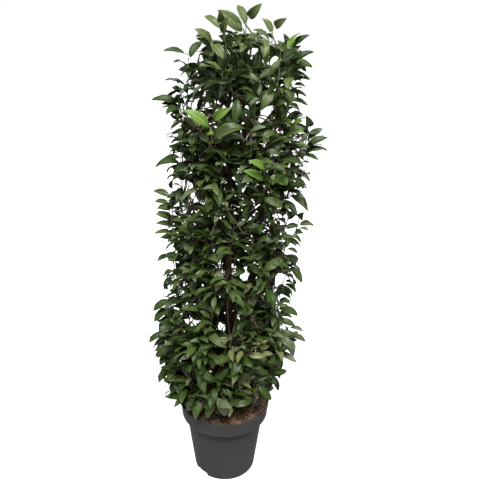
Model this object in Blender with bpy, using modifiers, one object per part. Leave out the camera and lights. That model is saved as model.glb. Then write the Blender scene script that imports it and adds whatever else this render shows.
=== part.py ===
"""A pillar-clipped laurel, leafy from the soil to the tip, in a plastic nursery pot.

Metres, +Z up. The origin is the centre of the pot's flat underside, and the front is -Y.
One trunk runs up the whole column. Boughs leave it in tiers, and each bough carries one mass
of foliage: a stem, twigs that branch from it, and leaves with their roots sunk in the twigs.
"""

import math
import random

import bmesh
import bpy
from mathutils import Matrix, Vector
from mathutils.bvhtree import BVHTree

SEED = 5
GAP = 0.0003  # between two pieces that touch

# Pot
POT_HEIGHT = 0.248
RIM_RADIUS = 0.140
LIP_ROUND = 0.002
COLLAR_HEIGHT = 0.049
COLLAR_FOOT_RADIUS = 0.135
STEP_RADIUS = 0.1205  # under the collar
STEP_RISE = 0.003
FOOT_RADIUS = 0.0975
FOOT_ROUND = 0.007
WALL = 0.0025
FLOOR = 0.017
NOTCH_WIDTH = 0.048
NOTCH_HEIGHT = 0.013
NOTCH_DEPTH = 0.012
NOTCH_BEARING = math.radians(221)  # from +X, counter-clockwise; its twin is opposite
POT_STEPS = 36

# Soil
SOIL_EDGE = 0.2385
SOIL_CROWN = 0.2455
SOIL_FLAT_RADIUS = 0.030  # round the trunk's foot
SOIL_SHOULDER_RADIUS = 0.080
SOIL_SHOULDER_RISE = 0.6  # of the way from the edge to the crown
SOIL_ROOM = 0.0008  # to the pot's inside, where the rings' flats come nearest it
SOIL_STEPS = 24

# Trunk
TRUNK_TOP = 1.196
TRUNK_RADIUS = 0.0140
TRUNK_TIP_RADIUS = 0.0042
FLARE_RADIUS = 0.0215
FLARE_HEIGHT = 0.035
TRUNK_FOOT_X = 0.006
TRUNK_LEAN = 0.013  # towards +X by the top, before the leader bends
LEADER_BEND = 0.030
LEADER_BEND_FROM = 0.95
TRUNK_SWAY = 0.004
TRUNK_SWAY_TURNS = (7.5, 5.0)  # radians from foot to tip, in X and in Y
TRUNK_TAPER_POWER = 1.15
TRUNK_RINGS = 13
TRUNK_RING_POWER = 1.25  # rings stand closer at the foot
TRUNK_SIDES = 9

# Crown: the cones between tiers, each named by its height at the trunk
TIER_HEIGHTS = (0.252, 0.487, 0.722, 0.957, 1.188, 1.394)
TIER_DROOP = 0.25  # how far a cone falls for each metre out from the trunk
TIER_WAVE = 0.055  # how far a cone rises over each mass below it, and dips between them
WAVE_FULL_AT = 0.10  # out from the trunk
SECTORS = 6  # in each tier but the topmost, which is one mass on the leader's tip
FIRST_BEARING = math.radians(20)
SPACE_MARGIN = 0.0012
SPACE_NEAREST = 0.03  # to the trunk, for the end of a twig
LIMB_ROOM = 0.0012  # kept free round every limb
# Height, and the column's reach from the pot's axis towards -X, +X, -Y and +Y
REACH = (
    (0.25, 0.165, 0.165, 0.165, 0.170),
    (0.30, 0.205, 0.180, 0.190, 0.195),
    (0.45, 0.230, 0.240, 0.215, 0.220),
    (0.56, 0.212, 0.195, 0.205, 0.205),
    (0.66, 0.180, 0.222, 0.200, 0.195),
    (0.78, 0.170, 0.215, 0.195, 0.200),
    (0.87, 0.202, 0.238, 0.200, 0.205),
    (0.96, 0.155, 0.232, 0.190, 0.195),
    (1.03, 0.165, 0.272, 0.190, 0.195),
    (1.09, 0.165, 0.278, 0.190, 0.195),
    (1.14, 0.175, 0.215, 0.185, 0.190),
    (1.17, 0.182, 0.215, 0.185, 0.185),
    (1.25, 0.135, 0.238, 0.165, 0.165),
    (1.32, 0.085, 0.222, 0.130, 0.130),
    (1.36, 0.035, 0.160, 0.090, 0.090),
    (1.394, 0.010, 0.090, 0.050, 0.050),
)

# Boughs
BOUGH_RADIUS = 0.0056
BOUGH_TIP_RADIUS = 0.0044
BOUGH_OUT = 0.060  # how far out a bough enters its mass
BOUGH_RISE = 0.052
BOUGH_ABOVE_TIER = 0.020
BOUGH_STEP = 0.013  # in height, from one bough of a tier to the next up the trunk
BOUGH_SHIFT = 0.003  # in height, either way
BOUGH_ROOT = 0.4  # of the trunk's radius, where the bough's line starts
BOUGH_KNEE = (0.55, 0.22)  # shares of the way out and up
BOUGH_POINTS = 4
BOUGH_SIDES = 5

# Twigs and leaves
STEM_RADIUS = 0.0060
STEM_TIP_RADIUS = 0.0040
TWIG_RADIUS = 0.0042
TWIG_TIP_RADIUS = 0.0026
TWIG_SIDES = 3
STEM_SQUARE = 0.012  # straight length where the stem meets its bough
STEM_INSET = 0.095  # from the outline back to a stem's end
STEM_UP = 0.82  # of the tier's height, at a stem's end
STEM_KNEE = 0.5  # of its length, which it runs on in its bough's direction
LIMB_POINTS = 3  # along a twig, and along a stem past its straight foot
TWIGS = 5
TOP_TWIGS = 10
TWIG_TRIES = 6
TWIG_FROM = (0.30, 0.99)  # shares of the stem that the lowest and topmost twigs leave from
TWIG_INSET = (0.070, 0.104)  # from the outline back to a twig's end
TWIG_SPAN = 0.74  # of the half sector, that twig ends are spread over
TWIG_BAND = (0.03, 0.98)  # of the tier's height, that they are spread over
TWIG_KNEE = 0.5  # of its length
TWIG_FOLLOW = 0.3  # how far a twig first follows its stem's direction
TWIG_LEAVES = 5
LEAF_LENGTH = 0.104
LEAF_WIDTH = 0.054
LEAF_THICKNESS = 0.0050
LEAF_SINK = 0.0012
LEAF_WIDEST = 0.44  # of the length, from the root
LEAF_FOLD = 0.0035
LEAF_ARCH = 0.14
LEAF_FROM = 0.30  # of its twig, that the first leaf stands at
LEAF_LEAN = (72.0, 24.0)  # degrees from the twig, at its foot and at its tip
LEAF_LEAN_SPREAD = 14.0
LEAF_OUTWARD = 0.35
LEAF_RISE = 0.10
LEAF_RISE_SPREAD = 0.70
FACE_OUTWARD = 0.45
FACE_ASIDE = 0.25
LEAF_SIZES = (0.82, 1.14)
LEAF_TRIES = 50
OUTWARD_SHARE = 0.25  # how far a leaf's tip reaches out, against its room, in choosing how it stands
CROSSING_SHARE = 0.5  # how a leaf that crosses another twig's wood is marked down
LEAF_MIDDLE = Vector((0.0, 0.6 * LEAF_LENGTH, 0.0))
LEAF_TIP = Vector((0.0, LEAF_LENGTH, 0.0))
GOLDEN_SHARE = 0.618034

# Colours and roughness
POT_GREY = (0.058, 0.057, 0.056)
SOIL_BROWN = (0.052, 0.034, 0.021)
BARK_BROWN = (0.085, 0.052, 0.034)
LEAF_GREEN = (0.052, 0.095, 0.026)


# ---------------------------------------------------------------- materials and helpers

def material(name, colour, roughness):
    made = bpy.data.materials.new(name)
    made.use_nodes = True
    shader = made.node_tree.nodes["Principled BSDF"]
    shader.inputs["Base Color"].default_value = (*colour, 1.0)
    shader.inputs["Roughness"].default_value = roughness
    shader.inputs["Metallic"].default_value = 0.0
    return made


def new_object(name, mesh, collection, finish=None):
    made = bpy.data.objects.new(name, mesh)
    collection.objects.link(made)
    if finish:
        mesh.materials.append(finish)
    return made


def evaluated_mesh(obj):
    """The object's mesh with its modifiers or its curve's bevel applied."""
    bpy.context.view_layer.update()
    graph = bpy.context.evaluated_depsgraph_get()
    return bpy.data.meshes.new_from_object(obj.evaluated_get(graph))


def weld_caps(mesh):
    """Joins a tube's loose end caps to its sides, with every face pointing out."""
    shape = bmesh.new()
    shape.from_mesh(mesh)
    bmesh.ops.remove_doubles(shape, verts=shape.verts, dist=1e-6)
    bmesh.ops.recalc_face_normals(shape, faces=shape.faces)
    shape.to_mesh(mesh)
    shape.free()


def turned(name, profile, steps, collection, finish):
    """A solid of revolution: the profile runs from the axis back to the axis."""
    mesh = bpy.data.meshes.new(name)
    edges = [(i, i + 1) for i in range(len(profile) - 1)]
    mesh.from_pydata([(radius, 0.0, height) for radius, height in profile], edges, [])
    made = new_object(name, mesh, collection, finish)
    screw = made.modifiers.new("Turn", "SCREW")
    screw.steps = screw.render_steps = steps
    screw.use_merge_vertices = True
    screw.merge_threshold = 0.00001
    screw.use_normal_calculate = True
    return made


def arc(centre, radius, start, end, points):
    """Points on a profile's rounded corner, by angle in degrees."""
    angles = [math.radians(start + (end - start) * i / (points - 1)) for i in range(points)]
    return [(centre[0] + radius * math.cos(a), centre[1] + radius * math.sin(a)) for a in angles]


def tube_profile(sides):
    """The cross-section that a limb's curve carries along."""
    curve = bpy.data.curves.new(f"section_{sides}", "CURVE")
    curve.dimensions = "2D"
    spline = curve.splines.new("POLY")
    spline.points.add(sides - 1)
    for i, point in enumerate(spline.points):
        turn = -2 * math.pi * i / sides
        point.co = (math.cos(turn), math.sin(turn), 0.0, 1.0)
    spline.use_cyclic_u = True
    made = bpy.data.objects.new(curve.name, curve)
    made.hide_render = True
    made.display_type = "WIRE"
    return made


def limb(name, points, radii, section, collection):
    """A tapering closed tube through the points, as a mesh object."""
    curve = bpy.data.curves.new(name, "CURVE")
    curve.dimensions = "3D"
    curve.bevel_mode = "OBJECT"
    curve.bevel_object = section
    curve.use_fill_caps = True
    spline = curve.splines.new("POLY")
    spline.points.add(len(points) - 1)
    for point, place, radius in zip(spline.points, points, radii):
        point.co = (*place, 1.0)
        point.radius = radius
    guide = bpy.data.objects.new(name + "_guide", curve)
    collection.objects.link(guide)
    mesh = evaluated_mesh(guide)
    weld_caps(mesh)
    bpy.data.objects.remove(guide)
    bpy.data.curves.remove(curve)
    mesh.name = name
    return new_object(name, mesh, collection)


def tapered(start, end, count):
    return [start + (end - start) * i / (count - 1) for i in range(count)]


def mix(a, b, share):
    return a + (b - a) * share


def smooth_step(low, high, value):
    share = min(max((value - low) / (high - low), 0.0), 1.0)
    return share * share * (3 - 2 * share)


def spread(random_source, amount):
    return random_source.uniform(-amount, amount)


# ---------------------------------------------------------------- the plant's rule

def trunk_point(height):
    """The trunk's centre line: a slight lean, a slow sway, and a leader that bends over to +X."""
    share = (height - SOIL_CROWN) / (TRUNK_TOP - SOIL_CROWN)
    bend = LEADER_BEND * smooth_step(LEADER_BEND_FROM, TRUNK_TOP, height)
    sway = [TRUNK_SWAY * math.sin(turns * share) for turns in TRUNK_SWAY_TURNS]
    return Vector((TRUNK_FOOT_X + TRUNK_LEAN * share + bend + sway[0], sway[1], height))


def trunk_radius(height):
    above = max(height - SOIL_CROWN, 0.0)
    flare = (FLARE_RADIUS - TRUNK_RADIUS) * max(0.0, 1 - above / FLARE_HEIGHT) ** 2
    taper = (above / (TRUNK_TOP - SOIL_CROWN)) ** TRUNK_TAPER_POWER
    return mix(TRUNK_RADIUS, TRUNK_TIP_RADIUS, taper) + flare


def reach_at(bearing, height):
    """How far the column's outline stands from the pot's axis, in one direction at one height."""
    height = min(max(height, REACH[0][0]), REACH[-1][0])
    upper = next(i for i, row in enumerate(REACH) if row[0] >= height)
    low, high = REACH[max(upper - 1, 0)], REACH[upper]
    share = 0.0 if high is low else (height - low[0]) / (high[0] - low[0])
    left, right, front, back = (mix(low[i], high[i], share) for i in range(1, 5))
    across = right if math.cos(bearing) > 0 else left
    along = back if math.sin(bearing) > 0 else front
    return across * math.cos(bearing) ** 2 + along * math.sin(bearing) ** 2


def sector_bearing(tier, sector):
    """Tiers are staggered, so that no seam runs up the column."""
    return 2 * math.pi * (sector + 0.5 * (tier % 2)) / SECTORS + FIRST_BEARING


def cone_height(cone, point):
    """The height of one boundary between tiers over a point; the lowest and topmost are flat."""
    height = TIER_HEIGHTS[cone]
    if 0 < cone < len(TIER_HEIGHTS) - 1:
        out = point.xy - trunk_point(height).xy
        turn = math.atan2(out.y, out.x) - sector_bearing(cone - 1, 0)
        wave = TIER_WAVE * math.cos(SECTORS * turn)
        height += min(out.length / WAVE_FULL_AT, 1.0) * wave - TIER_DROOP * out.length
    return height


class Space:
    """The air that one mass keeps to: a sector of a tier, between two drooping cones."""

    def __init__(self, tier, bearing, half_angle):
        self.tier, self.bearing, self.half_angle = tier, bearing, half_angle
        self.axis = trunk_point((TIER_HEIGHTS[tier] + TIER_HEIGHTS[tier + 1]) / 2)

    def floor_at(self, point):
        return cone_height(self.tier, point)

    def ceiling_at(self, point):
        return cone_height(self.tier + 1, point)

    def holds(self, point, margin=SPACE_MARGIN):
        if point.xy.length > reach_at(math.atan2(point.y, point.x), point.z):
            return False
        out = point.xy - self.axis.xy
        turn = math.atan2(out.y, out.x) - self.bearing
        turn = abs((turn + math.pi) % (2 * math.pi) - math.pi)
        inside_angle = min(self.half_angle - turn, math.pi / 2)
        if self.half_angle < math.pi and out.length * math.sin(inside_angle) < margin:
            return False
        return self.floor_at(point) + margin <= point.z <= self.ceiling_at(point) - margin

    def place(self, across, up, inset):
        """A point at shares across the sector and up the tier, set in from the outline."""
        bearing = self.bearing + across * self.half_angle
        direction = Vector((math.cos(bearing), math.sin(bearing), 0.0))
        distance = BOUGH_OUT * 2
        for _ in range(3):
            point = self.axis + direction * distance
            point.z = mix(self.floor_at(point), self.ceiling_at(point), up)
            edge = reach_at(bearing, point.z) - self.axis.xy.dot(direction.xy)
            distance = max(edge - inset, SPACE_NEAREST)
        point.xy = self.axis.xy + direction.xy * distance
        return point


def bezier(a, b, c, count):
    """Points on a bend from a to c that leaves a towards b."""
    shares = [i / (count - 1) for i in range(count)]
    return [a * (1 - s) ** 2 + b * 2 * s * (1 - s) + c * s * s for s in shares]


def bough_path(tier, sector, random_source):
    """A bough's line: out of the trunk's side, then up and out to where it enters its mass."""
    bearing = sector_bearing(tier, sector)
    height = TIER_HEIGHTS[tier] + BOUGH_ABOVE_TIER + BOUGH_STEP * (2 * sector % SECTORS)
    height += spread(random_source, BOUGH_SHIFT)
    centre = trunk_point(height)
    out = Vector((math.cos(bearing), math.sin(bearing), 0.0)) * BOUGH_OUT
    rise = Vector((0.0, 0.0, BOUGH_RISE))
    start = centre + out.normalized() * (trunk_radius(height) * BOUGH_ROOT)
    knee = centre + out * BOUGH_KNEE[0] + rise * BOUGH_KNEE[1]
    return bezier(start, knee, centre + out + rise, BOUGH_POINTS)


def stem_path(space, start, direction):
    """A mass's stem: on from the bough, up through the middle of the space."""
    if space.half_angle < math.pi:
        end = space.place(0.0, STEM_UP, STEM_INSET)
    else:
        end = start + direction * (TIER_HEIGHTS[-1] - start.z - STEM_INSET)
    square_end = start + direction * STEM_SQUARE
    knee = start + direction * ((end - start).length * STEM_KNEE)
    return [start] + bezier(square_end, knee, end, LIMB_POINTS)


def path_point(path, share):
    """The point and the direction at a share of a path's points."""
    place = min(share, 0.999) * (len(path) - 1)
    i = int(place)
    return path[i].lerp(path[i + 1], place - i), (path[i + 1] - path[i]).normalized()


def twig_path(space, stem, index, count, random_source):
    """One twig: aimed at its own place on the outline, leaving the stem some way below it."""
    across = 2 * ((0.5 + index * GOLDEN_SHARE) % 1.0) - 1
    up = mix(*TWIG_BAND, (index + 0.5) / count)
    target = space.place(across * TWIG_SPAN, up, random_source.uniform(*TWIG_INSET))
    start, along = path_point(stem, mix(*TWIG_FROM, index / (count - 1)))
    out = target - start
    knee = start + out.normalized().lerp(along, TWIG_FOLLOW) * (out.length * TWIG_KNEE)
    return bezier(start, knee, target, LIMB_POINTS)


def leaf_frame(path, share, turn, random_source):
    """One way for a leaf to stand on its twig: its root, width, length and face as a matrix."""
    root, along = path_point(path, mix(LEAF_FROM, 1.0, share))
    outward = (root - trunk_point(root.z)).normalized()
    side = along.orthogonal().normalized()
    side.rotate(Matrix.Rotation(turn, 3, along))
    lean = math.radians(mix(*LEAF_LEAN, share) + spread(random_source, LEAF_LEAN_SPREAD))
    rise = LEAF_RISE + spread(random_source, LEAF_RISE_SPREAD)
    direction = along * math.cos(lean) + side * math.sin(lean) + outward * LEAF_OUTWARD
    direction = (direction + Vector((0.0, 0.0, rise))).normalized()
    face = Vector((0.0, 0.0, 1.0)) + outward * FACE_OUTWARD + side * FACE_ASIDE
    face = (face - direction * face.dot(direction)).normalized()
    matrix = Matrix((direction.cross(face), direction, face)).transposed().to_4x4()
    matrix.translation = root
    return matrix


# ---------------------------------------------------------------- pot and soil

def build_pot(collection, cutters, finish):
    """A tapering pot with a wide collar, and two notches in the edge of its foot."""
    collar_foot = POT_HEIGHT - COLLAR_HEIGHT
    step = collar_foot - STEP_RISE
    lip_height = POT_HEIGHT - LIP_ROUND
    profile = [(0.0, FLOOR), (FOOT_RADIUS - WALL, FLOOR), (STEP_RADIUS - WALL, step)]
    profile += [(COLLAR_FOOT_RADIUS - WALL, collar_foot + WALL)]
    profile += [(RIM_RADIUS - 2 * LIP_ROUND, lip_height)]
    profile += arc((RIM_RADIUS - LIP_ROUND, lip_height), LIP_ROUND, 120, 0, 4)
    profile += [(COLLAR_FOOT_RADIUS, collar_foot), (STEP_RADIUS, step)]
    profile += arc((FOOT_RADIUS - FOOT_ROUND, FOOT_ROUND), FOOT_ROUND, 0, -90, 4)
    profile += [(0.0, 0.0)]
    pot = turned("pot", profile, POT_STEPS, collection, finish)
    for i in range(2):
        bearing = NOTCH_BEARING + i * math.pi
        bpy.ops.mesh.primitive_cube_add(size=1)
        cutter = bpy.context.object
        cutter.name = f"notch_cutter_{i + 1}"
        cutter.dimensions = (2 * NOTCH_DEPTH, NOTCH_WIDTH, 2 * NOTCH_HEIGHT)
        cutter.location = (FOOT_RADIUS * math.cos(bearing), FOOT_RADIUS * math.sin(bearing), 0)
        cutter.rotation_euler.z = bearing
        cutter.hide_render = True
        cutter.display_type = "WIRE"
        for owner in list(cutter.users_collection):
            owner.objects.unlink(cutter)
        cutters.objects.link(cutter)
        cut = pot.modifiers.new(f"Notch {i + 1}", "BOOLEAN")
        cut.operation = "DIFFERENCE"
        cut.object = cutter
    return pot


def build_soil(collection, finish):
    """The filled pot's soil: it clears the wall, and mounds slightly towards the trunk."""
    collar_foot = POT_HEIGHT - COLLAR_HEIGHT
    inset = WALL + SOIL_ROOM
    slope = (RIM_RADIUS - COLLAR_FOOT_RADIUS) / COLLAR_HEIGHT
    edge = COLLAR_FOOT_RADIUS + slope * (SOIL_EDGE - collar_foot) - inset - LIP_ROUND
    profile = [(0.0, SOIL_CROWN), (SOIL_FLAT_RADIUS, SOIL_CROWN)]
    profile += [(SOIL_SHOULDER_RADIUS, mix(SOIL_EDGE, SOIL_CROWN, SOIL_SHOULDER_RISE))]
    profile += [(edge, SOIL_EDGE), (COLLAR_FOOT_RADIUS - inset, collar_foot + WALL + GAP)]
    profile += [(STEP_RADIUS - inset, collar_foot - STEP_RISE + GAP)]
    profile += [(FOOT_RADIUS - inset, FLOOR + GAP), (0.0, FLOOR + GAP)]
    return turned("soil", profile, SOIL_STEPS, collection, finish)


# ---------------------------------------------------------------- trunk and boughs

def trunk_line():
    """The trunk's points, from its flat cut on the soil to its tip."""
    foot = SOIL_CROWN + GAP
    shares = [(i / (TRUNK_RINGS - 1)) ** TRUNK_RING_POWER for i in range(TRUNK_RINGS)]
    return [trunk_point(mix(foot, TRUNK_TOP, share)) for share in shares]


def trunk_tube(name, extra, collection, section):
    """The trunk, or a cutter a little fatter all round."""
    points = trunk_line()
    radii = [trunk_radius(point.z) + extra for point in points]
    points[0].xy = points[1].xy
    if extra:
        points.insert(0, points[0] - Vector((0, 0, extra)))
        points.append(points[-1] + (points[-1] - points[-2]).normalized() * extra)
        radii = [radii[0]] + radii + [radii[-1]]
    return limb(name, points, radii, section, collection)


def build_bough(name, path, cutter, section, collection, finish):
    """A tapering bough, cut to lie against the trunk's side."""
    radii = tapered(BOUGH_RADIUS, BOUGH_TIP_RADIUS, len(path))
    bough = limb(name, path, radii, section, collection)
    bough.data.materials.append(finish)
    cut = bough.modifiers.new("Seat on trunk", "BOOLEAN")
    cut.operation = "DIFFERENCE"
    cut.object = cutter
    return bough


# ---------------------------------------------------------------- masses of foliage

def leaf_mesh():
    """One leaf of eight faces, root at the origin and tip along +Y, folded up along its rib."""
    shape = bmesh.new()
    bmesh.ops.create_uvsphere(shape, u_segments=4, v_segments=2, radius=1.0)
    for vert in shape.verts:
        x, y, z = vert.co
        length, drop = LEAF_WIDEST * LEAF_LENGTH, 0.0
        if y > 0.5:
            length, drop = LEAF_LENGTH, LEAF_ARCH * LEAF_LENGTH
        elif y < -0.5:
            length = -LEAF_SINK
        lift = LEAF_FOLD * abs(x) + LEAF_THICKNESS / 2 * z
        vert.co = (x * LEAF_WIDTH / 2, length, lift - drop)
    bmesh.ops.recalc_face_normals(shape, faces=shape.faces)
    mesh = bpy.data.meshes.new("leaf")
    shape.to_mesh(mesh)
    shape.free()
    return mesh


def surface_of(mesh, place=Matrix()):
    """A mesh's surface where it stands, for tests of what it touches."""
    faces = [list(polygon.vertices) for polygon in mesh.polygons]
    return BVHTree.FromPolygons([place @ vert.co for vert in mesh.vertices], faces)


def fits(mesh, place, space, neighbours):
    if not all(space.holds(place @ vert.co) for vert in mesh.vertices):
        return False
    surface = surface_of(mesh, place)
    return not any(other.overlap(surface) for other in neighbours)


class Grower:
    """What every mass needs: the limbs to clear, a leaf to copy, and where leaves already stand."""

    def __init__(self, limbs, section, scrap):
        self.limbs, self.section, self.scrap = limbs, section, scrap
        self.leaf = leaf_mesh()
        self.middles = []

    def twigs(self, name, space, stem, random_source):
        """The twigs that keep inside the space and clear of the limbs, as objects and paths."""
        grown = []
        count = TWIGS if space.half_angle < math.pi else TOP_TWIGS
        radii = tapered(TWIG_RADIUS, TWIG_TIP_RADIUS, LIMB_POINTS)
        for i in range(count):
            for _ in range(TWIG_TRIES):
                path = twig_path(space, stem, i, count, random_source)
                twig = limb(f"{name}_twig_{i}", path, radii, self.section, self.scrap)
                if fits(twig.data, Matrix(), space, self.limbs):
                    grown.append((twig, path))
                    break
                bpy.data.objects.remove(twig)
        return grown

    def best_leaf(self, path, share, space, neighbours, others, random_source):
        """Of many ways for a leaf to stand, the one with the most air round it, or none."""
        best = None
        for _ in range(LEAF_TRIES):
            turn = random_source.uniform(0, 2 * math.pi)
            frame = leaf_frame(path, share, turn, random_source)
            frame = frame @ Matrix.Scale(random_source.uniform(*LEAF_SIZES), 4)
            middle = frame @ LEAF_MIDDLE
            room = min(((middle - other).length for other in self.middles), default=1.0)
            room += OUTWARD_SHARE * (frame @ LEAF_TIP).xy.length
            if best and room <= best[0] or not fits(self.leaf, frame, space, neighbours):
                continue
            if not fits(self.leaf, frame, space, others):
                room *= CROSSING_SHARE
            if not best or room > best[0]:
                best = room, frame
        return best[1] if best else None

    def grow(self, name, space, start, direction):
        """The stem, twigs and leaves of one mass, as separate closed objects."""
        random_source = random.Random(f"{name} {SEED}")
        stem = stem_path(space, start, direction)
        radii = tapered(STEM_RADIUS, STEM_TIP_RADIUS, len(stem))
        pieces = [limb(f"{name}_stem", stem, radii, self.section, self.scrap)]
        twigs = self.twigs(name, space, stem, random_source)
        pieces += [twig for twig, path in twigs]
        wood = [surface_of(piece.data) for piece in pieces]
        neighbours = list(self.limbs)
        for j in range(TWIG_LEAVES):
            for (twig, path), own in zip(twigs, wood[1:]):
                others = [surface for surface in wood if surface is not own]
                share = (j + 1) / TWIG_LEAVES
                frame = self.best_leaf(path, share, space, neighbours, others, random_source)
                if frame:
                    pieces.append(new_object(f"{name}_leaf", self.leaf, self.scrap))
                    pieces[-1].matrix_world = frame
                    neighbours.append(surface_of(self.leaf, frame))
                    self.middles.append(frame @ LEAF_MIDDLE)
        return pieces


def main_body(mesh):
    """Keep the mesh's one outer body: a sealed hollow is filled and a loose scrap dropped."""
    shape = bmesh.new()
    shape.from_mesh(mesh)
    unseen = set(shape.faces)
    bodies = []
    while unseen:
        body, edge = set(), [unseen.pop()]
        while edge:
            face = edge.pop()
            body.add(face)
            near = {other for side in face.edges for other in side.link_faces} & unseen
            unseen -= near
            edge += near
        bodies.append(body)
    largest = max(bodies, key=len)
    spare = [face for body in bodies if body is not largest for face in body]
    bmesh.ops.delete(shape, geom=spare, context="FACES")
    shape.to_mesh(mesh)
    shape.free()


def fuse(name, pieces, collection, scrap, finish):
    """One Boolean union of all the pieces, applied, with the pieces then removed."""
    first = pieces[0]
    others = bpy.data.collections.new(name + "_parts")
    bpy.context.scene.collection.children.link(others)
    for piece in pieces[1:]:
        scrap.objects.unlink(piece)
        others.objects.link(piece)
    union = first.modifiers.new("Join", "BOOLEAN")
    union.operation = "UNION"
    union.operand_type = "COLLECTION"
    union.collection = others
    union.solver = "MANIFOLD"
    mesh = evaluated_mesh(first)
    mesh.name = name
    main_body(mesh)
    for piece in pieces:
        bpy.data.objects.remove(piece)
    bpy.data.collections.remove(others)
    mesh.materials.clear()
    return new_object(name, mesh, collection, finish)


def build_boughs(plant, scrap, cutter, sections, finish):
    """Every bough's line by tier and sector, and the surfaces that foliage keeps clear of."""
    random_source = random.Random(SEED)
    lines = {}
    room = [trunk_tube("trunk_room", LIMB_ROOM, scrap, sections[TRUNK_SIDES])]
    for tier in range(len(TIER_HEIGHTS) - 2):
        for sector in range(SECTORS):
            name = f"bough_{tier + 1}_{sector + 1}"
            path = lines[tier, sector] = bough_path(tier, sector, random_source)
            build_bough(name, path, cutter, sections[BOUGH_SIDES], plant, finish)
            radii = [BOUGH_RADIUS + LIMB_ROOM] * len(path)
            room.append(limb(name + "_room", path, radii, sections[BOUGH_SIDES], scrap))
    surfaces = [surface_of(obj.data) for obj in room]
    for obj in room:
        bpy.data.objects.remove(obj)
    return lines, surfaces


def build_foliage(lines, grower, plant, finish):
    """One mass on each bough's tip, and one on the trunk's."""
    for (tier, sector), path in lines.items():
        name = f"foliage_{tier + 1}_{sector + 1}"
        space = Space(tier, sector_bearing(tier, sector), math.pi / SECTORS)
        direction = (path[-1] - path[-2]).normalized()
        pieces = grower.grow(name, space, path[-1] + direction * GAP, direction)
        fuse(name, pieces, plant, grower.scrap, finish)
    *_, below, tip = trunk_line()
    direction = (tip - below).normalized()
    space = Space(len(TIER_HEIGHTS) - 2, 0.0, math.pi)
    pieces = grower.grow("foliage_top", space, tip + direction * GAP, direction)
    fuse("foliage_top", pieces, plant, grower.scrap, finish)


def main():
    for obj in list(bpy.data.objects):
        bpy.data.objects.remove(obj)
    plant = bpy.data.collections.new("Pillar laurel")
    cutters = bpy.data.collections.new("Cutters")
    scrap = bpy.data.collections.new("Scrap")
    for collection in (plant, cutters, scrap):
        bpy.context.scene.collection.children.link(collection)
    cutters.hide_render = True

    plastic = material("Pot plastic", POT_GREY, 0.55)
    peat = material("Potting soil", SOIL_BROWN, 0.95)
    bark = material("Bark", BARK_BROWN, 0.75)
    green = material("Laurel leaves", LEAF_GREEN, 0.38)
    sections = {sides: tube_profile(sides) for sides in (TRUNK_SIDES, BOUGH_SIDES, TWIG_SIDES)}
    for section in sections.values():
        cutters.objects.link(section)

    build_pot(plant, cutters, plastic)
    build_soil(plant, peat)
    trunk = trunk_tube("trunk", 0.0, plant, sections[TRUNK_SIDES])
    trunk.data.materials.append(bark)
    cutter = trunk_tube("trunk_cutter", GAP, cutters, sections[TRUNK_SIDES])
    cutter.hide_render = True
    cutter.display_type = "WIRE"
    lines, surfaces = build_boughs(plant, scrap, cutter, sections, bark)
    build_foliage(lines, Grower(surfaces, sections[TWIG_SIDES], scrap), plant, green)
    bpy.data.collections.remove(scrap)


main()
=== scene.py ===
"""The looks of a pillar-clipped laurel in its nursery pot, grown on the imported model's frame.

Metres, +Z up, the front at -Y. The limbs follow the part's own rule, which is written again
here: a trunk, boughs in staggered tiers, and in each bough's space a stem with twigs. Here the
rule goes on to rising shoots, leaf stalks and single leaves, inside the same column. The edge
sprays that the photograph shows are then added, each at its own place in the picture.
"""

import random
from math import atan2, cos, hypot, pi, radians, sin, sqrt

import bmesh
import bpy
import numpy as np
from mathutils import Matrix, Vector, noise


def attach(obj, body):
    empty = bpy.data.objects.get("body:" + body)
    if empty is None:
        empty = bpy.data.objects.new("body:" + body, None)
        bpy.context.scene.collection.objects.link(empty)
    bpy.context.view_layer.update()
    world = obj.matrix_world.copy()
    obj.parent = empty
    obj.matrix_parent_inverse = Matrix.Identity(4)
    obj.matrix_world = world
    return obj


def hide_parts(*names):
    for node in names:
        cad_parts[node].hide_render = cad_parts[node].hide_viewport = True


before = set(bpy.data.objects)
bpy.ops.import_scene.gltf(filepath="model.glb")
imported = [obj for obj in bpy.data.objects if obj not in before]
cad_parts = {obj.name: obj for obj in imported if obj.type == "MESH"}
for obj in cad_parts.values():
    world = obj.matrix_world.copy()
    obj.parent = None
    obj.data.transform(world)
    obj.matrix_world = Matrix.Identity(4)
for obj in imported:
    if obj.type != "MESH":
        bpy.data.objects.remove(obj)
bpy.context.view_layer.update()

SEED = 5

# Pot
POT_HEIGHT = 0.248
RIM_RADIUS = 0.140
LIP_ROUND = 0.002
LIP_INSIDE = 0.004  # how far under the lip the wall is straight again, inside
LIP_OUTSIDE = (0.0007, 0.006)  # and outside: how far in from the rim, and how far under the lip
COLLAR_HEIGHT = 0.049
COLLAR_FOOT_RADIUS = 0.135
COLLAR_FOOT_ROUND = 0.0025
STEP_RADIUS = 0.1205
STEP_RISE = 0.003
STEP_ROUND = 0.002
STEP_SLOPE = 0.0004  # how far the collar's underside falls inwards
FOOT_RADIUS = 0.0975
FOOT_ROUND = 0.007
WALL = 0.0025
FLOOR = 0.017
FLOOR_FILLET = 0.004
NOTCH_WIDTH = 0.048
NOTCH_HEIGHT = 0.013
NOTCH_DEPTH = 0.012
NOTCH_BEARING = radians(221)
NOTCH_ROUND = 0.004
POT_STEPS = 160

# Soil
SOIL_EDGE = 0.2385
SOIL_CROWN = 0.2455
SOIL_SHOULDER_RADIUS = 0.080
SOIL_SHOULDER_RISE = 0.6
SOIL_RINGS = 44
SOIL_STEPS = 132
SOIL_LUMP = 0.0022  # height of the surface's lumps
SOIL_LUMP_SCALE = 70
SOIL_GAP = 0.0003  # what the soil keeps from the floor and the collar's foot
SOIL_WALL_GAP = 0.0008
SOIL_COLLAR_GAPS = (0.0013, 0.0014)  # at the collar's foot and above it

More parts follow.
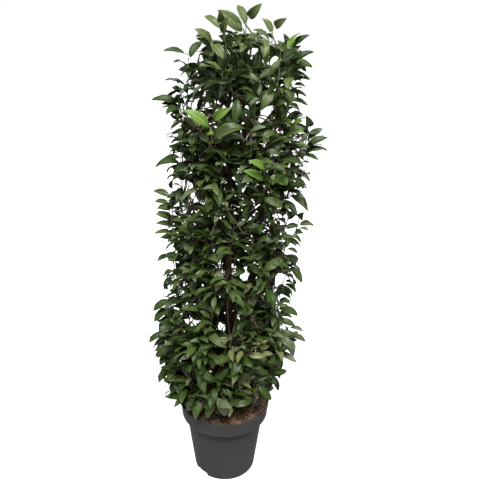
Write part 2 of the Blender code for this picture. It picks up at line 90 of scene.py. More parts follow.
# Litter on the soil. The browns are dark to pale, and each kind draws them by its own weights.
BROWNS = (
    (0.028, 0.017, 0.010), (0.095, 0.054, 0.028), (0.190, 0.110, 0.056), (0.380, 0.260, 0.160),
)
CRUMBS = 1500
CRUMB_SHAPES = 8
CRUMB_WEIGHTS = (5, 6, 3, 0.4)
CHIPS = 420
CHIP_THICKNESS = 0.0014
CHIP_WEIGHTS = (3, 5, 5, 1.3)
FIBRES = 170
FIBRE_RADIUS = 0.00045
FIBRE_POINTS = 6
TUFT_BEARING = -62  # every third fibre is in a pale tuft in front
LITTER_INSETS = (0.004, 0.010, 0.016)  # how far crumbs, chips and fibres stay from the collar

# Trunk
TRUNK_TOP = 1.196
TRUNK_RADIUS = 0.0140
TRUNK_TIP_RADIUS = 0.0042
FLARE_RADIUS = 0.0215
FLARE_HEIGHT = 0.035
TRUNK_FOOT_X = 0.006
TRUNK_LEAN = 0.013
LEADER_BEND = 0.030
LEADER_BEND_FROM = 0.95
LEADER_TIP = 0.098  # the length at the tip that gives the leader's direction
TRUNK_SWAY = 0.004
TRUNK_SWAY_TURNS = (7.5, 5.0)
TRUNK_TAPER_POWER = 1.15
TRUNK_RINGS = 170
TRUNK_RING_POWER = 1.1  # over 1, so that the rings stand closer at the flare
TRUNK_SUNK = 0.012

# Crown
TIER_HEIGHTS = (0.252, 0.487, 0.722, 0.957, 1.188, 1.394)
TIER_DROOP = 0.25
TIER_WAVE = 0.055
WAVE_FULL_AT = 0.10
SECTORS = 6
FIRST_BEARING = radians(20)
SPACE_NEAREST = 0.03
# The column's outline: a height, and how far it stands out to the left, right, front and back
REACH = (
    (0.25, 0.165, 0.165, 0.165, 0.170),
    (0.30, 0.205, 0.180, 0.190, 0.195),
    (0.45, 0.230, 0.240, 0.215, 0.220),
    (0.56, 0.212, 0.195, 0.205, 0.205),
    (0.66, 0.180, 0.222, 0.200, 0.195),
    (0.78, 0.170, 0.215, 0.195, 0.200),
    (0.87, 0.202, 0.238, 0.200, 0.205),
    (0.96, 0.155, 0.232, 0.190, 0.195),
    (1.03, 0.165, 0.272, 0.190, 0.195),
    (1.09, 0.165, 0.278, 0.190, 0.195),
    (1.14, 0.175, 0.215, 0.185, 0.190),
    (1.17, 0.182, 0.215, 0.185, 0.185),
    (1.25, 0.135, 0.238, 0.165, 0.165),
    (1.32, 0.085, 0.222, 0.130, 0.130),
    (1.36, 0.035, 0.160, 0.090, 0.090),
    (1.394, 0.010, 0.090, 0.050, 0.050),
)
REACH_HEIGHTS, *REACH_SIDES = zip(*REACH)

# Boughs, stems and twigs
BOUGH_RADIUS = 0.0056
BOUGH_TIP_RADIUS = 0.0044
BOUGH_OUT = 0.060
BOUGH_RISE = 0.052
BOUGH_ABOVE_TIER = 0.020
BOUGH_STEP = 0.013
BOUGH_SHIFT = 0.003
BOUGH_ROOT = 0.4
BOUGH_KNEE = (0.55, 0.22)
BOUGH_POINTS = 10
STEM_RADIUS = 0.0044
STEM_TIP_RADIUS = 0.0022
LEADER_TIP_RADIUS = 0.0015
STEM_INSET = 0.075
STEM_UP = 0.82
STEM_KNEE = 0.5
TWIG_RADIUS = 0.0024
TWIG_TIP_RADIUS = 0.0013
TWIGS = 5
TOP_TWIGS = 10
TWIG_FROM = (0.10, 0.99)
TWIG_INSET = (0.040, 0.080)
TWIG_SPAN = 0.86
GOLDEN_SHARE = 0.618034
TWIG_BAND = (0.03, 0.90)
TWIG_KNEE = 0.5
TWIG_FOLLOW = 0.3
PATH_POINTS = 7
TOP_TWIG_LEAST = 0.6  # the share of a topmost twig that stays, with or without leaves

# Bark: each limb's sides, how high its ridges are against its radius, and how fine
BARK = {"trunk": (30, 0.10, 420), "bough": (12, 0.10, 520), "stem": (9, 0.08, 700)}
BARK_STRETCH = 0.22
TWIG_SIDES, SHOOT_SIDES, STALK_SIDES = 6, 5, 3

# Shoots: each leaves a twig below it and turns up to its own place in the mass.
SHOOT_RADII = (0.0013, 0.0007)
SHOOT_RISE = (0.080, 0.160)  # about how far below its tip a shoot leaves its twig
RISE_COST = 3  # how much worse a start is that stands higher than that
RISE_KNEE = 0.25
# A shell's shoots: how many across, how many up, and how far they are set in
SHELLS = ((4, 3, (0.042, 0.085)), (2, 2, (0.085, 0.125)), (1, 2, (0.125, 0.155)))
TOP_SHELLS = ((9, 3, (0.040, 0.075)), (5, 2, (0.075, 0.120)))
SHOOT_BAND = (0.06, 1.12)
TOP_BAND = (0.02, 0.68)
SHOOT_SHIFTS = (0.30, 0.42)  # how far chance moves one across and up, in steps of its shell

# One leaf
LEAF_LENGTH = 0.072
LEAF_WIDTH = 0.0256
LEAF_THICKNESS = 0.0008
LEAF_FOOT_POWER = 0.8  # the lower, the broader a leaf's foot
LEAF_FULLEST = 0.2904  # what the outline's formula gives at its widest
LEAF_SHAPES = 10
LEAF_RISE = 0.26  # the share of a leaf's arch by which it first rises from its stalk
LEAF_WAVES = 14
STALK_LENGTH = 0.009
STALK_RADII = (0.0010, 0.0008)

# How leaves stand on a shoot
LEAF_SIZES = (0.58, 1.08)
LEAF_GROWTH = ((0.35, 1.00), (0.60, 0.88), (0.90, 0.87), (1.10, 0.98), (1.30, 1.06))
LEAF_END_SIZE = (0.7, 0.78)  # the share of a shoot where leaves get smaller, and the last's size
LEAF_SHRUNK = 0.88  # the size at which a leaf with no room is tried again
LEAF_GAP = 0.0111  # along a shoot, from one leaf to the next
LEAST_LEAVES = 4
LEAF_FROM = 0.06
LEAF_TURN = radians(137.5)
LEAF_TURN_SPREAD = 0.25
LEAF_INWARD = (-1.4, -0.5)  # a leaf that points further in than this is turned round
LEAF_LEAN = (80.0, 40.0)
LEAF_LEAN_SPREAD = 12.0
LEAF_LIFT = (-0.26, 0.16)  # leaves hang up to the first of these heights, then rise
LEAF_LIFT_HEIGHTS = (0.95, 1.30)
LEAF_LIFT_SPREAD = 0.16
LEAF_OUTWARD = 0.14
LEAF_FACE = (0.45, 0.85, 0.40, 0.25)  # how far it faces its tip, the sky, outwards and any side
LEAF_ROLL = 40

# Where leaves end
SIDE_HANG = 0.262  # the height at which they end past the pot's rim, at the sides and behind
# and in front, by x
FRONT_HANG = ((-0.11, 0.300), (-0.08, 0.276), (0.015, 0.276), (0.045, 0.318))
IN_FRONT = (0.02, 0.10)  # how far before the pot's axis the one turns to the other
OVER_SOIL = (0.13, 0.09)  # the radii between which leaves come down to the soil
SOIL_MARGINS = (0.004, 0.008)  # how far over it they end, before and after the next value
HANG_SHIFT = (-0.014, 0.045)  # how much higher the leaves of one shoot end
OUTLINE_SLACK = (-0.038, 0.003)  # how far past the outline one shoot's leaves may stand
TOP_SLACK = 0.012  # what the topmost mass has more than that
TRUNK_MARGIN = 0.003
CEILING = 1.324  # how high any leaf but a spray's may stand
WIDEST = 0.275  # how far from the pot's axis any leaf may

# The photograph, with places across and down in its pixels, and the camera that took it
PICTURE_SIZE = 480
PICTURE_AXIS = 224.7  # the pot's axis
CAMERA_BACK = 1.413
CAMERA_HEIGHT = 1.302
CAMERA_PITCH = radians(20.4)
CAMERA_LENS = 39.9
SENSOR_WIDTH = 36.0
FOCAL = CAMERA_LENS / SENSOR_WIDTH * PICTURE_SIZE
VIEWPOINT = Vector((0.0, -CAMERA_BACK, CAMERA_HEIGHT))

# Where the photograph shows sky through the crown: each place is the x and the height at which
# a straight opening, seen from where the picture was taken, passes the pot's axis.
OPENINGS = (
    (0.069, 1.272), (0.131, 1.274), (-0.080, 1.260),
    (0.097, 1.229), (-0.119, 1.202), (0.113, 1.129), (-0.117, 1.008), (-0.100, 0.934),
    (-0.082, 0.897), (0.174, 0.903), (0.172, 0.830), (0.189, 0.743), (0.059, 0.665),
    (0.161, 0.649), (-0.098, 0.510), (-0.008, 0.493),
)
OPENING_RADIUS = 0.015  # from a leaf's rib to an opening's middle
# The heights at which the photograph shows the trunk, past the leaves in front of it
TRUNK_SHOWN = (0.960, 0.935, 0.715, 0.690, 0.668, 0.560, 0.535, 0.510, 0.487)

# The sprays that the photograph shows at the crown's edge. Each holds its bud's picture place,
# how far behind the pot's axis it stands, the gap from leaf to leaf, and for each leaf down from
# the bud its tip's picture place and how far the leaf faces the camera.
SPRAYS = (
    (247, 19, 0.00, 0.012, ((262, 3, 1.0), (237, 5, 0.4), (217, 10, 0.7))),
    (222, 24, -0.01, 0.010, ((220, 9, 0.9), (204, 16, 0.4), (229, 16, 0.6), (232, 36, 0.7))),
    (246, 33, -0.03, 0.008, ((231, 26, 0.5), (236, 41, 0.8), (262, 38, 0.5), (252, 46, 0.7))),
    (273, 27, 0.01, 0.014, ((287, 18, 1.0), (261, 18, 0.4), (252, 30, 0.5), (284, 48, 0.6))),
    (289, 50, -0.01, 0.010, ((310, 35, 0.5), (283, 33, 0.3), (277, 40, 0.5), (267, 46, 0.5))),
    (215, 44, -0.02, 0.010, ((194, 29, 0.5), (198, 36, 0.8), (228, 50, 0.6), (205, 50, 0.45))),
    (188, 54, 0.01, 0.012, ((163, 51, 0.5), (203, 42, 0.45), (173, 63, 0.5), (179, 70, 0.6))),
    (286, 62, 0.01, 0.012, ((313, 68, 0.5), (303, 71, 0.4), (308, 77, 0.45), (295, 80, 0.45))),
    (180, 84, 0.00, 0.016, ((166, 81, 0.5), (173, 87, 0.35), (151, 100, 0.5), (160, 104, 0.4))),
    (284, 92, 0.02, 0.012, ((307, 97, 0.4), (309, 107, 0.4), (299, 109, 0.4))),
    (180, 106, -0.02, 0.012, ((166, 115, 0.4), (173, 118, 0.35), (177, 118, 0.5))),
    (308, 128, 0.00, 0.022, (
        (306, 115, 0.8), (323, 128, 0.35), (329, 138, 0.4), (328, 151, 0.4), (319, 161, 0.45))),
    (188, 120, 0.01, 0.014, ((170, 131, 0.35), (170, 139, 0.4), (176, 139, 0.5))),
    (182, 149, -0.01, 0.014, (
        (168, 146, 0.9), (162, 162, 0.45), (155, 168, 0.35), (175, 172, 0.8))),
    (292, 168, 0.01, 0.020, ((310, 182, 0.4), (307, 190, 0.4), (303, 200, 0.4), (308, 212, 0.5))),
    (172, 190, 0.00, 0.014, ((178, 178, 0.4), (153, 191, 0.4), (154, 202, 0.45), (157, 209, 0.45))),
    (299, 219, 0.00, 0.012, ((304, 212, 0.9), (314, 226, 0.4), (309, 231, 0.45), (302, 233, 0.45))),
    (288, 217, 0.03, 0.010, (
        (280, 206, 0.5), (296, 211, 0.6), (278, 219, 0.7), (298, 226, 0.5), (284, 236, 0.5))),
    (174, 218, 0.01, 0.016, (
        (155, 214, 0.8), (155, 224, 0.35), (154, 234, 0.4), (160, 239, 0.4), (167, 243, 0.35))),
    (287, 235, -0.01, 0.016, ((301, 243, 0.4), (300, 247, 0.4), (298, 254, 0.45), (295, 264, 0.8))),
    (173, 256, 0.00, 0.014, ((157, 262, 0.4), (168, 253, 0.9), (164, 275, 0.45), (171, 277, 0.4))),
    (289, 264, 0.01, 0.024, ((302, 283, 0.6), (292, 286, 0.45), (296, 293, 0.45))),
    (174, 275, -0.01, 0.014, ((163, 287, 0.4), (168, 290, 0.35), (173, 295, 0.45))),
    (173, 299, 0.00, 0.018, ((153, 311, 0.45), (154, 322, 0.4), (159, 333, 0.45))),
    (278, 292, 0.00, 0.018, ((291, 299, 0.4), (290, 305, 0.4), (298, 316, 0.4), (292, 318, 0.4))),
    (168, 333, 0.01, 0.016, ((149, 343, 0.4), (154, 348, 0.45), (155, 357, 0.8), (160, 365, 0.7))),
    (288, 327, 0.00, 0.018, ((304, 332, 0.45), (306, 342, 0.5), (295, 352, 0.4), (292, 360, 0.45))),
    (174, 364, 0.00, 0.018, ((158, 384, 0.5), (165, 380, 0.4), (170, 391, 0.45), (177, 399, 0.8))),
    (272, 362, 0.00, 0.018, ((282, 374, 0.4), (278, 378, 0.4), (278, 391, 0.45))),
    (216, 395, -0.15, 0.010, ((226, 416, 0.6), (207, 418, 0.45), (232, 408, 0.8))),
    (202, 401, -0.14, 0.010, ((195, 419, 0.4), (187, 409, 0.6), (208, 410, 0.5))),
    (257, 384, -0.15, 0.010, ((271, 400, 0.9), (262, 397, 0.45))),
)
# The young sprays that stand out in front, in the same way
FRESH_SPRAYS = (
    (212, 121, -0.15, 0.010, ((231, 108, 0.8), (184, 110, 0.6), (214, 134, 0.9), (244, 127, 0.5))),
    (268, 170, -0.14, 0.010, ((248, 161, 0.7), (288, 184, 0.7), (243, 171, 0.5), (286, 172, 0.6))),
    (294, 124, -0.06, 0.010, ((303, 121, 0.8), (284, 119, 0.6), (304, 132, 0.6))),
)
SPRAY_LEAF = 0.066  # how long its leaves are, unless the picture asks for more
SPRAY_LEAF_SIZES = (0.55, 1.15)
SPRAY_RADII = (0.0019, 0.0012)
SPRAY_DEEPEST = 0.048  # how far a leaf may reach towards the camera or away
SPRAY_BARE_FROM = 0.62  # the share of a spray's shoot from which only these leaves stand
SPRAY_LOWEST = 0.1  # the lowest share of it at which one of them may stand
SPRAY_OUTWARD = 0.3

UP = Vector((0.0, 0.0, 1.0))
SHARP_ANGLE = radians(60)


# ---- small helpers

def mix(a, b, share):
    return a + (b - a) * share


def smooth_step(low, high, value):
    share = min(max((value - low) / (high - low), 0.0), 1.0)
    return share * share * (3 - 2 * share)


def spread(dice, amount):
    return dice.uniform(-amount, amount)


def along_table(table, value):
    """The value of a table of (place, value) pairs, joined by straight lines."""
    places, values = zip(*table)
    return float(np.interp(value, places, values))


def tapered(start, end, count):
    return [mix(start, end, i / (count - 1)) for i in range(count)]


def around(bearing):
    return Vector((cos(bearing), sin(bearing), 0.0))


def bezier(a, b, c, count):
    shares = [i / (count - 1) for i in range(count)]
    return [a * (1 - s) ** 2 + b * 2 * s * (1 - s) + c * s * s for s in shares]


def shortened(path, share):
    """The same path, ended at a share of its points."""
    return [path_point(path, share * i / (len(path) - 1))[0] for i in range(len(path))]


def path_point(path, share):
    """The point and the direction at a share of a path's points."""
    place = min(share, 0.999) * (len(path) - 1)  # short of the last point, which has no next
    i = int(place)
    return path[i].lerp(path[i + 1], place - i), (path[i + 1] - path[i]).normalized()


# ---- the plant's rule

def trunk_point(height):
    share = (height - SOIL_CROWN) / (TRUNK_TOP - SOIL_CROWN)
    bend = LEADER_BEND * smooth_step(LEADER_BEND_FROM, TRUNK_TOP, height)
    sway = [TRUNK_SWAY * sin(turns * share) for turns in TRUNK_SWAY_TURNS]
    return Vector((TRUNK_FOOT_X + TRUNK_LEAN * share + bend + sway[0], sway[1], height))


def trunk_radius(height):
    above = max(height - SOIL_CROWN, 0.0)
    flare = (FLARE_RADIUS - TRUNK_RADIUS) * max(0.0, 1 - above / FLARE_HEIGHT) ** 2
    taper = (above / (TRUNK_TOP - SOIL_CROWN)) ** TRUNK_TAPER_POWER
    return mix(TRUNK_RADIUS, TRUNK_TIP_RADIUS, taper) + flare


def reach_at(bearing, height):
    """How far the column's outline stands from the pot's axis, in one direction at one height."""
    left, right, front, back = (np.interp(height, REACH_HEIGHTS, side) for side in REACH_SIDES)
    across = right if cos(bearing) > 0 else left
    along = back if sin(bearing) > 0 else front
    return float(across * cos(bearing) ** 2 + along * sin(bearing) ** 2)


def sector_bearing(tier, sector):
    return 2 * pi * (sector + 0.5 * (tier % 2)) / SECTORS + FIRST_BEARING


def cone_height(cone, point):
    """The height of one boundary between tiers over a point; the lowest and topmost are flat."""
    height = TIER_HEIGHTS[cone]
    if 0 < cone < len(TIER_HEIGHTS) - 1:
        out = point.xy - trunk_point(height).xy
        turn = atan2(out.y, out.x) - sector_bearing(cone - 1, 0)
        wave = TIER_WAVE * cos(SECTORS * turn)
        height += min(out.length / WAVE_FULL_AT, 1.0) * wave - TIER_DROOP * out.length
    return height


class Space:
    """The air that one mass grows in: a sector of a tier, between two drooping cones."""

    def __init__(self, tier, bearing, half_angle):
        self.tier, self.bearing, self.half_angle = tier, bearing, half_angle
        self.whole = half_angle >= pi
        self.axis = trunk_point((TIER_HEIGHTS[tier] + TIER_HEIGHTS[tier + 1]) / 2)

    def place(self, across, up, inset):
        """A point at shares across the sector and up the tier, set in from the outline."""
        bearing = self.bearing + across * self.half_angle
        direction = around(bearing)
        distance = BOUGH_OUT * 2
        for _ in range(3):
            point = self.axis + direction * distance
            point.z = mix(cone_height(self.tier, point), cone_height(self.tier + 1, point), up)
            edge = reach_at(bearing, point.z) - self.axis.xy.dot(direction.xy)
            distance = max(edge - inset, SPACE_NEAREST)
        point.xy = self.axis.xy + direction.xy * distance
        return point


def bough_path(tier, sector, dice):
    bearing = sector_bearing(tier, sector)
    height = TIER_HEIGHTS[tier] + BOUGH_ABOVE_TIER + BOUGH_STEP * (2 * sector % SECTORS)
    height += spread(dice, BOUGH_SHIFT)
    centre = trunk_point(height)
    out = around(bearing) * BOUGH_OUT
    rise = UP * BOUGH_RISE
    start = centre + out.normalized() * (trunk_radius(height) * BOUGH_ROOT)
    knee = centre + out * BOUGH_KNEE[0] + rise * BOUGH_KNEE[1]
    return bezier(start, knee, centre + out + rise, BOUGH_POINTS)


def stem_path(space, start, direction):
    if space.whole:
        end = start + direction * (TIER_HEIGHTS[-1] - start.z - STEM_INSET)
    else:
        end = space.place(0.0, STEM_UP, STEM_INSET)
    knee = start + direction * ((end - start).length * STEM_KNEE)
    return bezier(start, knee, end, PATH_POINTS)


def shoot_path(stem, leave_at, target):
    """A shoot that leaves its parent some way below its target and bends up to it."""
    start, along = path_point(stem, leave_at)
    out = target - start
    knee = start + out.normalized().lerp(along, TWIG_FOLLOW) * (out.length * TWIG_KNEE)
    return bezier(start, knee, target, PATH_POINTS)


def mass_twigs(space, stem, dice):
    """The twigs of one mass, by the part's rule."""
    count = TOP_TWIGS if space.whole else TWIGS
    for i in range(count):
        across = 2 * ((0.5 + i * GOLDEN_SHARE) % 1.0) - 1
        up = mix(*TWIG_BAND, (i + 0.5) / count)
        target = space.place(across * TWIG_SPAN, up, dice.uniform(*TWIG_INSET))
        yield shoot_path(stem, mix(*TWIG_FROM, i / (count - 1)), target)


def rising_path(points, tip, rise):
    """A shoot up to its tip, from the point of a twig that it can rise from most nearly."""
    below = tip - UP * rise
    start = min(points, key=lambda p: (p - below).length + RISE_COST * max(p.z - below.z, 0.0))
    knee = below.lerp(start, RISE_KNEE)
    knee.z = max(knee.z, min(start.z, tip.z))
    return bezier(start, knee, tip, PATH_POINTS)


def twig_points(twigs):
    return [point for twig in twigs for point in twig[2:] if point.z < CEILING]


def rising_shoots(space, twigs, dice):
    """Shoots spread evenly over one mass."""
    points = twig_points(twigs)
    band = TOP_BAND if space.whole else SHOOT_BAND
    for across_count, up_count, inset in TOP_SHELLS if space.whole else SHELLS:
        for i in range(across_count * up_count):
            row, column = divmod(i, across_count)
            column += 0.5 * (row % 2) + 0.25 + spread(dice, SHOOT_SHIFTS[0])
            up = mix(*band, (row + 0.5 + spread(dice, SHOOT_SHIFTS[1])) / up_count)
            tip = space.place(2 * column / across_count - 1, up, dice.uniform(*inset))
            yield rising_path(points, tip, dice.uniform(*SHOOT_RISE))


def seen_at(across, down, behind):
    """The point at a place in the photograph, so far behind the pot's axis."""
    right, up = (across - PICTURE_AXIS) / FOCAL, (PICTURE_SIZE / 2 - down) / FOCAL
    sine, cosine = sin(CAMERA_PITCH), cos(CAMERA_PITCH)
    ray = Vector((right, cosine + up * sine, up * cosine - sine))
    return VIEWPOINT + ray * ((behind - VIEWPOINT.y) / ray.y)


# ---- joined meshes

def linked(name, data):
    """A new object in the scene, with its mesh, light or camera."""
    made = bpy.data.objects.new(name, data)
    bpy.context.scene.collection.objects.link(made)
    return made


class Heap:
    """Many small closed shapes gathered into one mesh."""

    def __init__(self):
        self.points, self.faces, self.slots = [], [], []
        self.count = 0

    def add(self, points, faces, slots):
        self.points.append(points)
        self.faces += [[i + self.count for i in face] for face in faces]
        self.slots += slots
        self.count += len(points)

    def add_plain(self, points, faces, slot=0):
        self.add(points, faces, [slot] * len(faces))

    def make(self, name, materials, smooth=True, sharp=SHARP_ANGLE):
        mesh = bpy.data.meshes.new(name)
        mesh.from_pydata(np.concatenate(self.points).tolist(), [], self.faces)
        for finish in materials:
            mesh.materials.append(finish)
        mesh.polygons.foreach_set("material_index", self.slots)
        mesh.polygons.foreach_set("use_smooth", [smooth] * len(self.faces))
        if smooth and sharp:
            mesh.set_sharp_from_angle(angle=sharp)
        mesh.update()
        return linked(name, mesh)


def tube(points, radii, sides, relief=None):
    """A closed tube through the points, as arrays of points and faces."""
    path = np.array([list(p) for p in points])
    along = np.gradient(path, axis=0)
    along /= np.linalg.norm(along, axis=1)[:, None]
    start = np.array([1.0, 0, 0]) if abs(along[0][0]) < 0.8 else np.array([0, 1.0, 0])
    turns = 2 * np.pi * np.arange(sides) / sides
    rings = []
    side = start - along[0] * start.dot(along[0])
    for place, direction, radius in zip(path, along, radii):
        side = side - direction * side.dot(direction)
        side /= np.linalg.norm(side)
        up = np.cross(direction, side)
        ring = np.cos(turns)[:, None] * side + np.sin(turns)[:, None] * up
        reach = np.full(sides, radius)
        if relief:
            reach = np.array([radius + relief(place + r * radius, r, radius) for r in ring])
        rings.append(place + ring * reach[:, None])
    verts = np.concatenate(rings + [path[:1], path[-1:]])
    foot, tip, last = len(verts) - 2, len(verts) - 1, (len(path) - 1) * sides
    pairs = [(k, (k + 1) % sides) for k in range(sides)]
    faces = [(low + k, low + n, low + sides + n, low + sides + k)
             for low in range(0, last, sides) for k, n in pairs]
    for k, n in pairs:
        faces += [(foot, n, k), (tip, last + k, last + n)]
    return verts, faces


# ---- leaves

STATIONS = (0.07, 0.20, 0.37, 0.55, 0.73, 0.89)  # shares of a leaf's length
COLUMNS = (-1.0, -0.55, -0.09, 0.09, 0.55, 1.0)  # shares of its half width
TOP, RIB, UNDER = 0, 1, 2  # a leaf's material slots
MIDDLE = 1 + 3 * (len(COLUMNS) + 1) + 3  # the point halfway along the rib, beside it


def path_length(path):
    return sum((b - a).length for a, b in zip(path, path[1:]))


def squared(vector, axis):
    """The unit vector square to a unit axis that lies nearest to another vector."""
    return (vector - axis * vector.dot(axis)).normalized()


def leaf_width(share):
    """Half of a leaf's width at a share of its length, against its widest."""
    return share ** LEAF_FOOT_POWER * (1 - share) / LEAF_FULLEST


def leaf_shape(dice):
    """One leaf as arrays: a pointed oval, folded along its rib and arched down to its tip."""
    arch = radians(dice.uniform(54, 112))
    rise = arch * LEAF_RISE
    fold = dice.uniform(0.08, 0.36)
    bulge = dice.uniform(0.10, 0.20)
    twist = radians(spread(dice, 18))
    wave = dice.uniform(0.0, 0.0016)
    phase = dice.uniform(0, 2 * pi)
    half_width = LEAF_WIDTH / 2 * dice.uniform(0.90, 1.12)

    def bent(x, share, lift):
        slope, turn = rise - arch * share, twist * share
        y = LEAF_LENGTH * (sin(rise) - sin(slope)) / arch
        z = LEAF_LENGTH * (cos(slope) - cos(rise)) / arch
        side = x * cos(turn) - lift * sin(turn)
        off = x * sin(turn) + lift * cos(turn)
        return side, y - off * sin(slope), z + off * cos(slope)

    points = [(0.0, 0.0, 0.0)]
    for share in STATIONS:
        half = half_width * leaf_width(share)
        for x in COLUMNS:
            lift = half * (fold * abs(x) + bulge * sin(pi * abs(x)))
            lift += wave * abs(x) * sin(LEAF_WAVES * share + phase + x)
            points.append(bent(x * half, share, lift))
        points.append(bent(0.0, share, -LEAF_THICKNESS))
    points.append(bent(0.0, 1.0, 0.0))

    faces, slots = [], []
    last, across = len(points) - 1, len(COLUMNS) + 1
    keel = len(COLUMNS)  # the point under the rib
    strips = [(k, k + 1, RIB if k == 2 else TOP) for k in range(keel - 1)]
    strips += [(keel, 0, UNDER), (keel - 1, keel, UNDER)]
    for left, right, slot in strips:
        for row in range(len(STATIONS) + 1):
            low, high = 1 + (row - 1) * across, 1 + row * across
            if row == 0:
                faces.append((0, high + right, high + left))
            elif row == len(STATIONS):
                faces.append((low + left, low + right, last))
            else:
                faces.append((low + left, low + right, high + right, high + left))
            slots.append(slot)
    return np.array(points), faces, slots


def outside(point, slack=0.0, clear=0.0):
    """Whether a point of a leaf is past the crown's outline, in the trunk, or too low."""
    radius = hypot(point.x, point.y)
    if point.z > CEILING:
        return True
    if radius > min(reach_at(atan2(point.y, point.x), point.z) + slack, WIDEST):
        return True
    from_trunk = (point.xy - trunk_point(point.z).xy).length
    if point.z < TRUNK_TOP and from_trunk < trunk_radius(point.z) + TRUNK_MARGIN:
        return True
    front = smooth_step(*IN_FRONT, -point.y)
    hang = mix(SIDE_HANG, along_table(FRONT_HANG, point.x), front)
    near_soil, nearest = (SOIL_CROWN + margin for margin in SOIL_MARGINS)
    return point.z < max(mix(hang, near_soil, smooth_step(*OVER_SOIL, radius)) + clear, nearest)


def in_opening(*points):
    """Whether any of a leaf's points stands in an opening, or before the shown trunk."""
    in_front = [point for point in points if point.y < 0]
    ends = [(Vector((x, 0.0, height)), points) for x, height in OPENINGS]
    ends += [(trunk_point(height), in_front) for height in TRUNK_SHOWN]
    for end, near in ends:
        line = (end - VIEWPOINT).normalized()
        if any((point - VIEWPOINT).cross(line).length < OPENING_RADIUS for point in near):
            return True
    return False


def leaf_frames(path, dice):
    """How each leaf of one shoot stands: the stalk's foot, and the leaf's place as a matrix."""
    count = max(LEAST_LEAVES, round(path_length(path) * (1 - LEAF_FROM) / LEAF_GAP))
    turn = dice.uniform(0, 2 * pi)
    frames = []
    for i in range(count):
        share = (i + 1) / count
        foot, along = path_point(path, mix(LEAF_FROM, 1.0, share))
        outward = foot - trunk_point(foot.z)
        outward.z = 0.0
        outward.normalize()
        turn += LEAF_TURN + spread(dice, LEAF_TURN_SPREAD)
        side = along.orthogonal().normalized()
        side.rotate(Matrix.Rotation(turn, 3, along))
        if side.dot(outward) < dice.uniform(*LEAF_INWARD):
            side.negate()
        lean = radians(mix(*LEAF_LEAN, share) + spread(dice, LEAF_LEAN_SPREAD))
        lift = mix(*LEAF_LIFT, smooth_step(*LEAF_LIFT_HEIGHTS, foot.z))
        lift += spread(dice, LEAF_LIFT_SPREAD)
        direction = along * cos(lean) + side * sin(lean)
        direction += outward * LEAF_OUTWARD + UP * lift
        direction.normalize()
        to_tip, to_sky, to_outside, to_side = LEAF_FACE
        face = along * to_tip + UP * to_sky + outward * to_outside
        face = squared(face + side * spread(dice, to_side), direction)
        roll = radians(spread(dice, LEAF_ROLL))
        face.rotate(Matrix.Rotation(roll, 3, direction))
        end_from, end_size = LEAF_END_SIZE
        end = max(share - end_from, 0.0) / (1 - end_from)
        size = dice.uniform(*LEAF_SIZES) * mix(1.0, end_size, end)
        size *= along_table(LEAF_GROWTH, foot.z)
        matrix = Matrix((direction.cross(face), direction, face)).transposed() * size
        root = foot + direction * STALK_LENGTH
        frames.append((foot, root, matrix, share))
    return frames


def spray_frames(path, gap, behind, leaves, shapes, dice):
    """How the leaves stand that one spray shows in the photograph."""
    step = gap / path_length(path)
    for i, (across, down, facing) in enumerate(leaves):
        foot = path_point(path, max(1 - i * step, SPRAY_LOWEST))[0]
        shape = dice.choice(shapes)
        flat = (seen_at(across, down, behind) - foot).length
        deep = sqrt(max(SPRAY_LEAF ** 2 - flat ** 2, 0.0))
        deep = min(deep, SPRAY_DEEPEST) * (1 if i % 2 else -1)
        tip = seen_at(across, down, behind + deep)
        tip.x = min(tip.x, WIDEST)
        chord = tip - foot
        root = foot + chord.normalized() * STALK_LENGTH
        chord = tip - root
        rib = Vector(shape[0][-1])
        size = min(max(chord.length / rib.length, SPRAY_LEAF_SIZES[0]), SPRAY_LEAF_SIZES[1])
        chord.normalize()
        outward = Vector((foot.x, foot.y, 0.0)).normalized()
        face = (UP + outward * SPRAY_OUTWARD).lerp((VIEWPOINT - foot).normalized(), facing)
        face = squared(face, chord)
        rise, run = rib.z / rib.length, rib.y / rib.length
        direction, up = chord * run - face * rise, chord * rise + face * run
        matrix = Matrix((direction.cross(up), direction, up)).transposed() * size
        yield foot, root, matrix, shape


# Each shade's upper side, rib and underside, as plain colours that are dealt out by shoot
SHADES = {
    "deep": ((0.009, 0.022, 0.002), (0.028, 0.050, 0.010), (0.026, 0.044, 0.012)),
    "dark": ((0.020, 0.039, 0.005), (0.045, 0.072, 0.016), (0.040, 0.062, 0.018)),
    "mid": ((0.039, 0.062, 0.013), (0.070, 0.102, 0.028), (0.072, 0.100, 0.031)),
    "dull": ((0.074, 0.092, 0.043), (0.106, 0.132, 0.060), (0.088, 0.106, 0.052)),
    "light": ((0.062, 0.087, 0.024), (0.106, 0.140, 0.048), (0.104, 0.136, 0.048)),
    "fresh": ((0.085, 0.150, 0.022), (0.140, 0.215, 0.050), (0.120, 0.180, 0.045)),
    "yellowed": ((0.100, 0.110, 0.042), (0.150, 0.160, 0.070), (0.110, 0.120, 0.052)),
    "tan": ((0.130, 0.088, 0.048), (0.165, 0.120, 0.070), (0.145, 0.105, 0.060)),
}
# The share of shoots up to each shade: in the middle of the crown, low down and at the top
# The paler shades at the top are partly young growth and partly painted light, from above and
# through the leaves.
SHADE_SHARES = (
    ("fresh", 0.00, 0.00, 0.04),
    ("light", 0.03, 0.03, 0.62),
    ("dull", 0.06, 0.25, 0.06),
    ("mid", 0.40, 0.54, 1.00),
    ("dark", 0.78, 0.90, 0.78),
    ("deep", 1.00, 1.00, 1.00),
)
FRESH_TIPS = 0.55  # the share of a fresh shoot from which its leaves are fresh too
# Above this height a fresh shoot's lower leaves are paler: partly young growth, partly painted
# light.
YOUNG_FROM = 1.2  # the height from which its lower leaves are light
ODD_SHARE = 0.16  # the share of leaves whose shade is drawn anew
# Above this height odd leaves are paler: partly young growth, partly painted light.
ODD_SHADES = (1.25, ("deep", "dark", "mid"), ("mid", "light"))  # below this height and above it
